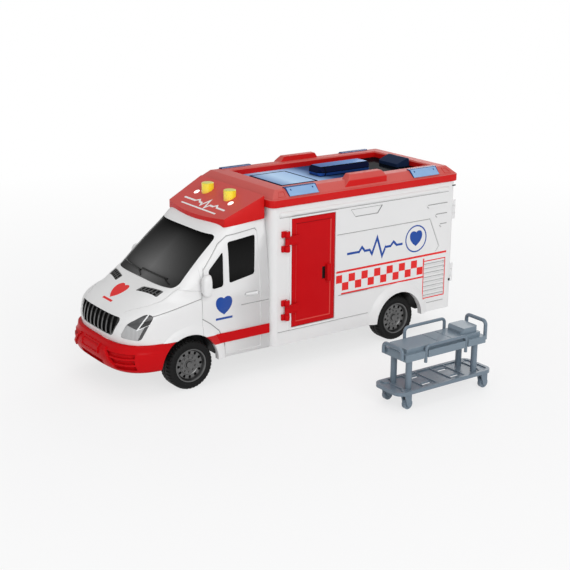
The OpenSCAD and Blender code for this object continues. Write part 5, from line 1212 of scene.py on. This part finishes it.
def rimForm(x):
    turns = fullTurn(rim["steps"])
    form = loft([[spoke(x, turn, r, 0, depth) for turn in turns] for r, depth in rim["profile"]])
    low, high, half = rim["slot"]
    deep, near = rim["slotDeep"], half * rim["slotTaper"]
    corners = [(low, -near), (high, -half), (high, half), (low, near)]
    slots = []
    for turn in fullTurn(rim["slots"]):
        slots.append(prism(corners, lambda out, along: spoke(x, turn, out, along, deep), Vector((0, deep, 0)),
                           *rim["slotRound"]))
    nuts = []
    for i in range(rim["nuts"]):
        spot = spoke(x, 2 * math.pi * (i + 0.5) / rim["nuts"], rim["nutRing"], 0, rim["nutSpan"][1])
        nuts.append(rod(spot, rim["nutRadius"], Vector((0, rim["nutSpan"][1] - rim["nutSpan"][0], 0)), 6))
    return joined(carve(form, cut(*slots)), *nuts)


# painted shade: dark discs close the wheels behind their slots, and dark liners close the wheel wells
wells = {"discRadius": 10.6, "discHole": 4.6, "discPlace": 41.2, "discDeep": 0.9, "radius": 21.95,
         "wall": 0.4, "inner": 31.0, "outer": {"front": 43.6, "rear": 46.4},
         "open": ((-40.0, 20.0, -20.0), (40.0, 60.0, 22.0))}
wellShades = []
for axle, x in tyre["places"].items():
    body, axleZ = axle + "_axle", tyre["axleZ"]
    addPiece(axle + "TyreTread", bothSides(tyreForm(x)), body, "rubber", (axle + "_tyres",), 28)
    addPiece(axle + "WheelRims", bothSides(rimForm(x)), body, "gunmetal", (axle + "_rims",), 30)
    place, across = wells["discPlace"], Vector((0, wells["discDeep"], 0))
    shadeDisc = carve(rod((x, place, axleZ), wells["discRadius"], across),
                 cut(rod((x, place - 1, axleZ), wells["discHole"], across * 4)))
    addPiece(axle + "WheelDiscs", bothSides(shadeDisc), body, "dark")
    inner, wall = wells["inner"], wells["wall"]
    deep = Vector((0, wells["outer"][axle] - inner, 0))
    low, high = ((x + spot[0], *spot[1:]) for spot in wells["open"])
    wellShades.append(carve(rod((x, inner, axleZ), wells["radius"], deep, 96),
                        cut(rod((x, inner + wall, axleZ), wells["radius"] - wall, deep, 96),
                            block(low, high))))
addPiece("wheelWellShade", bothSides(*wellShades), "van", "dark")
print("tyres and wheel wells built")

# door mirrors: each section is a place along the van and a share of the full size
mirror = {"middle": (49.75, 73.4), "half": (3.3, 7.8), "square": 2.8, "steps": 40,
          "sections": [(169.0, 0.9), (169.25, 0.97), (169.9, 1.0), (171.7, 1.0), (173.1, 0.93), (174.1, 0.8),
                       (174.7, 0.63), (175.0, 0.4)],
          "glass": [(168.9, 0.8), (169.1, 0.8)], "arm": (172.0, 44.4, 68.5), "armReach": 4.0,
          "armRadius": 1.3}


def mirrorRing(x, share):
    (midY, midZ), (halfY, halfZ) = mirror["middle"], mirror["half"]
    ring = []
    for turn in fullTurn(mirror["steps"]):
        reach = share * squareReach(turn, mirror["square"])
        ring.append((x, midY + halfY * reach * math.cos(turn), midZ + halfZ * reach * math.sin(turn)))
    return ring


case = joined(loft([mirrorRing(*row) for row in mirror["sections"]]),
              rod(mirror["arm"], mirror["armRadius"], Vector((0, mirror["armReach"], 0)), 32))
addPiece("mirrorCases", bothSides(case), "van", "white", ("mirrors",), 40)
glass = loft([mirrorRing(*row) for row in mirror["glass"]])
addPiece("mirrorGlasses", bothSides(glass), "van", "gloss")

# painted shade: a dark disc and block for the hole and slot at the box's rear corners
corner = {"hole": (-51.8, 48.2, 40.7), "radius": 1.0, "deep": 0.5,
          "slot": ((-54.2, 48.2, 115.7), (-50.8, 48.68, 116.6))}
cornerForm = joined(rod(corner["hole"], corner["radius"], Vector((0, corner["deep"], 0)), 32),
                    block(*corner["slot"]))
addPiece("cornerHoleShade", bothSides(cornerForm), "van", "dark")
print("mirrors and corner holes placed")


# side door: sunk panel, grip beside a pocket filled black as painted shade, ribbed arms and barrels; its
# knuckles stay on the van
sideDoor = {
    "low": (62.4, 46.9, 30.4), "high": (100.6, 49.1, 110.1), "round": 0.3, "frame": 3.2, "slope": 0.55,
    "sunk": 0.5, "pin": (106.0, 51.1), "feet": (37.0, 87.5), "bore": (1.0, 0.8), "barrel": (4.75, 10.25, 1.6),
    "knuckles": (0.0, 10.5), "knuckle": (2.0, 4.5), "leaf": ((104.4, 48.4), (109.7, 50.5)),
    "knuckleRound": 0.45,
    "arm": [(106.0, 5.2), (106.0, 9.4), (100.6, 11.2), (95.8, 11.6), (95.8, 4.2), (100.6, 4.3)],
    "armY": (49.5, 50.9), "armFoot": ((95.9, 48.3, 4.4), (100.4, 50.4, 11.0)), "rib": (0.8, 0.5, 0.1),
    "ribs": [[(105.2, 9.0), (100.5, 10.6), (96.2, 11.0)], [(105.2, 5.7), (100.5, 4.9), (96.2, 4.8)]],
    "grip": ((66.6, 48.3, 60.0), (70.3, 51.5, 73.0)), "gripRound": 0.6,
    "pocket": ((70.5, 47.5, 62.0), (73.3, 48.5, 71.2)), "pocketOpen": 2.0, "armRound": 0.25,
    "boreLong": (15.0, 17.0),
}


def doorLeaf(plan):
    panel = bevelled(block(plan["low"], plan["high"]), plan["round"], 2)
    panel.normal_update()
    front = max(panel.faces, key=lambda face: face.calc_center_median().y)
    bmesh.ops.inset_region(panel, faces=[front], thickness=plan["frame"], depth=0, use_even_offset=True)
    bmesh.ops.inset_region(panel, faces=[front], thickness=plan["slope"], depth=-plan["sunk"],
                           use_even_offset=True)
    low, high = plan["pocket"]
    steps = cut(block(low, (high[0], high[1] + plan["pocketOpen"], high[2])))
    parts = [bevelled(block(*plan["grip"]), plan["gripRound"], 3)]
    y0, y1 = plan["armY"]
    for foot in plan["feet"]:
        def lift(x, z, y=y0, foot=foot): return Vector((x, y, z + foot))
        parts.append(bevelled(prism(plan["arm"], lift, Vector((0, y1 - y0, 0))), plan["armRound"], 2))
        low, high = [Vector(spot) + Vector((0, 0, foot)) for spot in plan["armFoot"]]
        parts.append(block(low, high))
        width, height, sunk = plan["rib"]
        for points in plan["ribs"]:
            parts.append(ribbon(points, width, lambda x, z: lift(x, z, y1 - sunk),
                                Vector((0, height + sunk, 0))))
        z0, z1, radius = plan["barrel"]
        parts.append(rod((*plan["pin"], foot + z0), radius, Vector((0, 0, z1 - z0)), 32))
    steps += fuse(*parts)
    along = Vector((0, 0, plan["boreLong"][0]))
    steps += cut(*[rod((*plan["pin"], foot), plan["bore"][0], along, 32) for foot in plan["feet"]])
    return carve(panel, steps)


def doorKnuckles(plan):
    radius, height = plan["knuckle"]
    (x0, y0), (x1, y1) = plan["leaf"]
    solids = []
    for base in [foot + z0 for foot in plan["feet"] for z0 in plan["knuckles"]]:
        leaf = block((x0, y0, base), (x1, y1, base + height))
        knuckle = rod((*plan["pin"], base), radius, Vector((0, 0, height)), 32)
        solids += [bevelled(leaf, plan["knuckleRound"], 2), bevelled(knuckle, plan["knuckleRound"], 2, 40)]
    along = Vector((0, 0, plan["boreLong"][1]))
    bores = [rod((*plan["pin"], foot - 1), plan["bore"][1], along, 32) for foot in plan["feet"]]
    return carve(solids[0], fuse(*solids[1:]) + cut(*bores))


addPiece("sideDoorPanel", doorLeaf(sideDoor), "side_door", "door", ("side_door",), 30)
addPiece("sideDoorKnuckles", doorKnuckles(sideDoor), "van", "red",
         ("side_door_hinges",), 40)
# painted shade: a black block inside the pocket
addPiece("sideDoorPocketShade", block(*sideDoor["pocket"]), "side_door", "gloss")
print("side door built")

# cheeks that flare over the cab's shoulders, so the fairing ends in one straight line; rows of (along, proud)
cheek = {"rows": [(119.5, 0.35), (125.0, 0.5), (131.0, 0.7), (137.0, 1.0), (142.0, 1.1), (146.0, 0.7),
                  (149.5, 0.12)],
         "rear": (119.4, 42.0, 112.0, 127.8), "front": (149.6, 37.4, 108.5, 113.9), "sunk": 0.5,
         "topProud": 0.1, "round": 0.12}


def cheekRing(x, proud):
    (x0, *rear), (x1, *front) = cheek["rear"], cheek["front"]
    share = (x - x0) / (x1 - x0)
    y, low, high = [a + (b - a) * share for a, b in zip(rear, front)]
    inner = y - cheek["sunk"]
    return [(x, inner, low), (x, y + proud, low), (x, y + cheek["topProud"], high), (x, inner, high)]


flare = bevelled(loft([cheekRing(*row) for row in cheek["rows"]]), cheek["round"], 2, 40)
addPiece("fairingCheeks", bothSides(flare), "van", "fairing", (), 40)
print("fairing cheeks placed")

# drip rails under the roof, each with a sleeve at both ends
dripRail = {"ends": (-47.6, 111.0), "y": 48.1, "z": 114.1, "radius": 1.75, "round": 0.7,
            "sleeve": (2.1, 10.5, 0.5), "sleeveRound": 0.5}


def railForm(plan):
    x0, x1 = plan["ends"]
    radius, length, start = plan["sleeve"]

    def bar(x, thick, long): return rod((x, plan["y"], plan["z"]), thick, Vector((long, 0, 0)), 32)

    bars = [bevelled(bar(x0, plan["radius"], x1 - x0), plan["round"], 3, 40)]
    for x in (x0 + start, x1 - start - length):
        bars.append(bevelled(bar(x, radius, length), plan["sleeveRound"], 2, 40))
    return joined(*bars)


addPiece("dripRails", bothSides(railForm(dripRail)), "van", "white", (), 40)
print("drip rails placed")


# moulded edges: a copy of a node's solid with its sharp edges rounded off
edges = {
    "front_bulkhead": 0.25, "rear_left_door": 0.3, "rear_right_door": 0.3, "fairing": 0.9,
    "sill_stripes": 0.2, "light_bar": 0.4, "ac_unit": 0.4, "roof_insert": 0.2, "roof_lenses": 0.15,
    "stretcher_tray": 0.25, "stretcher_bed": 0.3, "stretcher_posts": 0.15,
    "button_left": 0.5, "button_right": 0.5, "led_lenses": 0.15,
}
flattened = ["fairing", "light_bar", "ac_unit", "stretcher_bed", "button_left", "button_right"]
softening = {"weld": 0.000002, "flat": math.radians(0.5), "sharp": math.radians(32)}


def softened(name, width):
    form = bmesh.new()
    form.from_mesh(nodes[name].data)
    bmesh.ops.remove_doubles(form, verts=form.verts, dist=softening["weld"])
    if name in flattened:
        bmesh.ops.dissolve_limit(form, angle_limit=softening["flat"], verts=form.verts, edges=form.edges)
    sharp = [edge for edge in form.edges
             if len(edge.link_faces) == 2 and edge.calc_face_angle() > softening["sharp"]]
    rounded(form, sharp, width / 1000, 2)
    words = name.split("_")
    title = words[0] + "".join(word.title() for word in words[1:]) + "Soft"
    piece = addPiece(title, form, bodyOf[name], lookOf[name], (name,), 40, None, False)
    even = piece.modifiers.new("evenShading", "WEIGHTED_NORMAL")
    even.keep_sharp = True


for name, width in edges.items():
    softened(name, width)
print("edges softened on", len(edges), "nodes")

# wipers on the windscreen's foot, as (across, up) places
wipers = {"blades": [[(-31.7, 76.2), (-4.8, 75.1)], [(-4.4, 76.2), (28.3, 76.2)]],
          "arms": [[(-8.5, 75.4), (-0.5, 72.9)], [(25.5, 76.0), (33.5, 73.6)]],
          "radius": {"blades": 0.55, "arms": 0.44}, "proud": 0.4, "steps": 6, "overlap": 1.05, "ahead": 300.0}
screenTree = BVHTree.FromBMesh(glassOuter)


def onScreen(y, z):
    spot, normal = screenTree.ray_cast(Vector((wipers["ahead"], y, z)), Vector((-1, 0, 0)))[:2]
    return spot + normal * wipers["proud"]


bars = []
for group, radius in wipers["radius"].items():
    for (y0, z0), (y1, z1) in wipers[group]:
        shares = [k / wipers["steps"] for k in range(wipers["steps"] + 1)]
        spots = [onScreen(y0 + (y1 - y0) * share, z0 + (z1 - z0) * share) for share in shares]
        bars += [rod(a, radius, (b - a) * wipers["overlap"], 10) for a, b in zip(spots, spots[1:])]
addPiece("screenWipers", joined(*bars), "van", "gloss")
print("wipers placed")


# studio

studio = {
    "floorSize": 8.0, "floorColour": (0.84, 0.84, 0.85), "floorGlow": 0.7, "floorFade": (0.18, 0.75),
    "worldLight": 0.5, "worldShow": 1.0,
    "lamps": [
        ("keySoftbox", (0.35, 1.6, 0.9), (0.0, 0.0, 0.06), 1.2, 15.5),
        ("frontSoftbox", (1.6, 0.3, 0.7), (0.05, 0.0, 0.06), 1.0, 2.6),
        ("topSoftbox", (-0.1, 0.0, 1.7), (0.0, 0.0, 0.0), 1.2, 3.4),
        ("backSoftbox", (-1.3, -0.9, 0.9), (0.0, 0.0, 0.06), 1.0, 6.0),
    ],
}


def buildStudio(plan):
    form = bmesh.new()
    bmesh.ops.create_grid(form, x_segments=1, y_segments=1, size=plan["floorSize"] / 2)
    mesh = bpy.data.meshes.new("floor")
    form.to_mesh(mesh)
    form.free()
    floor = bpy.data.objects.new("floor", mesh)
    bpy.context.scene.collection.objects.link(floor)
    paint = Paint("floorPaper")
    rays = [paint.make("ShaderNodeLightPath", None, None, ray)
            for ray in ("Is Camera Ray", "Is Glossy Ray", "Is Transmission Ray")]
    paper = paint.make("ShaderNodeBsdfDiffuse", None, {"Color": plan["floorColour"]})
    brightening = paint.make("ShaderNodeEmission", None, {"Color": (1.0, 1.0, 1.0), "Strength": 1.0})
    away = paint.make("ShaderNodeVectorMath", {"operation": "LENGTH"}, {0: paint.coords()}, "Value")
    glowing = paint.fade(away, *plan["floorFade"]) * (1 - plan["floorGlow"]) + plan["floorGlow"]
    seen = (rays[0] | rays[1] | rays[2]) * glowing
    mixed = paint.make("ShaderNodeMixShader", None, {0: seen, 1: paper, 2: brightening})
    paint.show(mixed)
    mesh.materials.append(paint.material)
    sky = Paint("studioWorld", "worlds")
    bpy.context.scene.world = sky.material
    light, shown = (sky.make("ShaderNodeBackground", None, {"Color": (1, 1, 1), "Strength": plan[key]})
                    for key in ("worldLight", "worldShow"))
    seen = sky.make("ShaderNodeLightPath", None, None, "Is Camera Ray")
    sky.show(sky.make("ShaderNodeMixShader", None, {0: seen, 1: light, 2: shown}), "World Output")
    for name, place, target, size, power in plan["lamps"]:
        lamp = bpy.data.objects.new(name, bpy.data.lights.new(name, "AREA"))
        lamp.data.size = size
        lamp.data.energy = power
        lamp.location = place
        lamp.rotation_euler = (Vector(target) - Vector(place)).to_track_quat("-Z", "Y").to_euler()
        bpy.context.scene.collection.objects.link(lamp)


buildStudio(studio)
print("studio built")
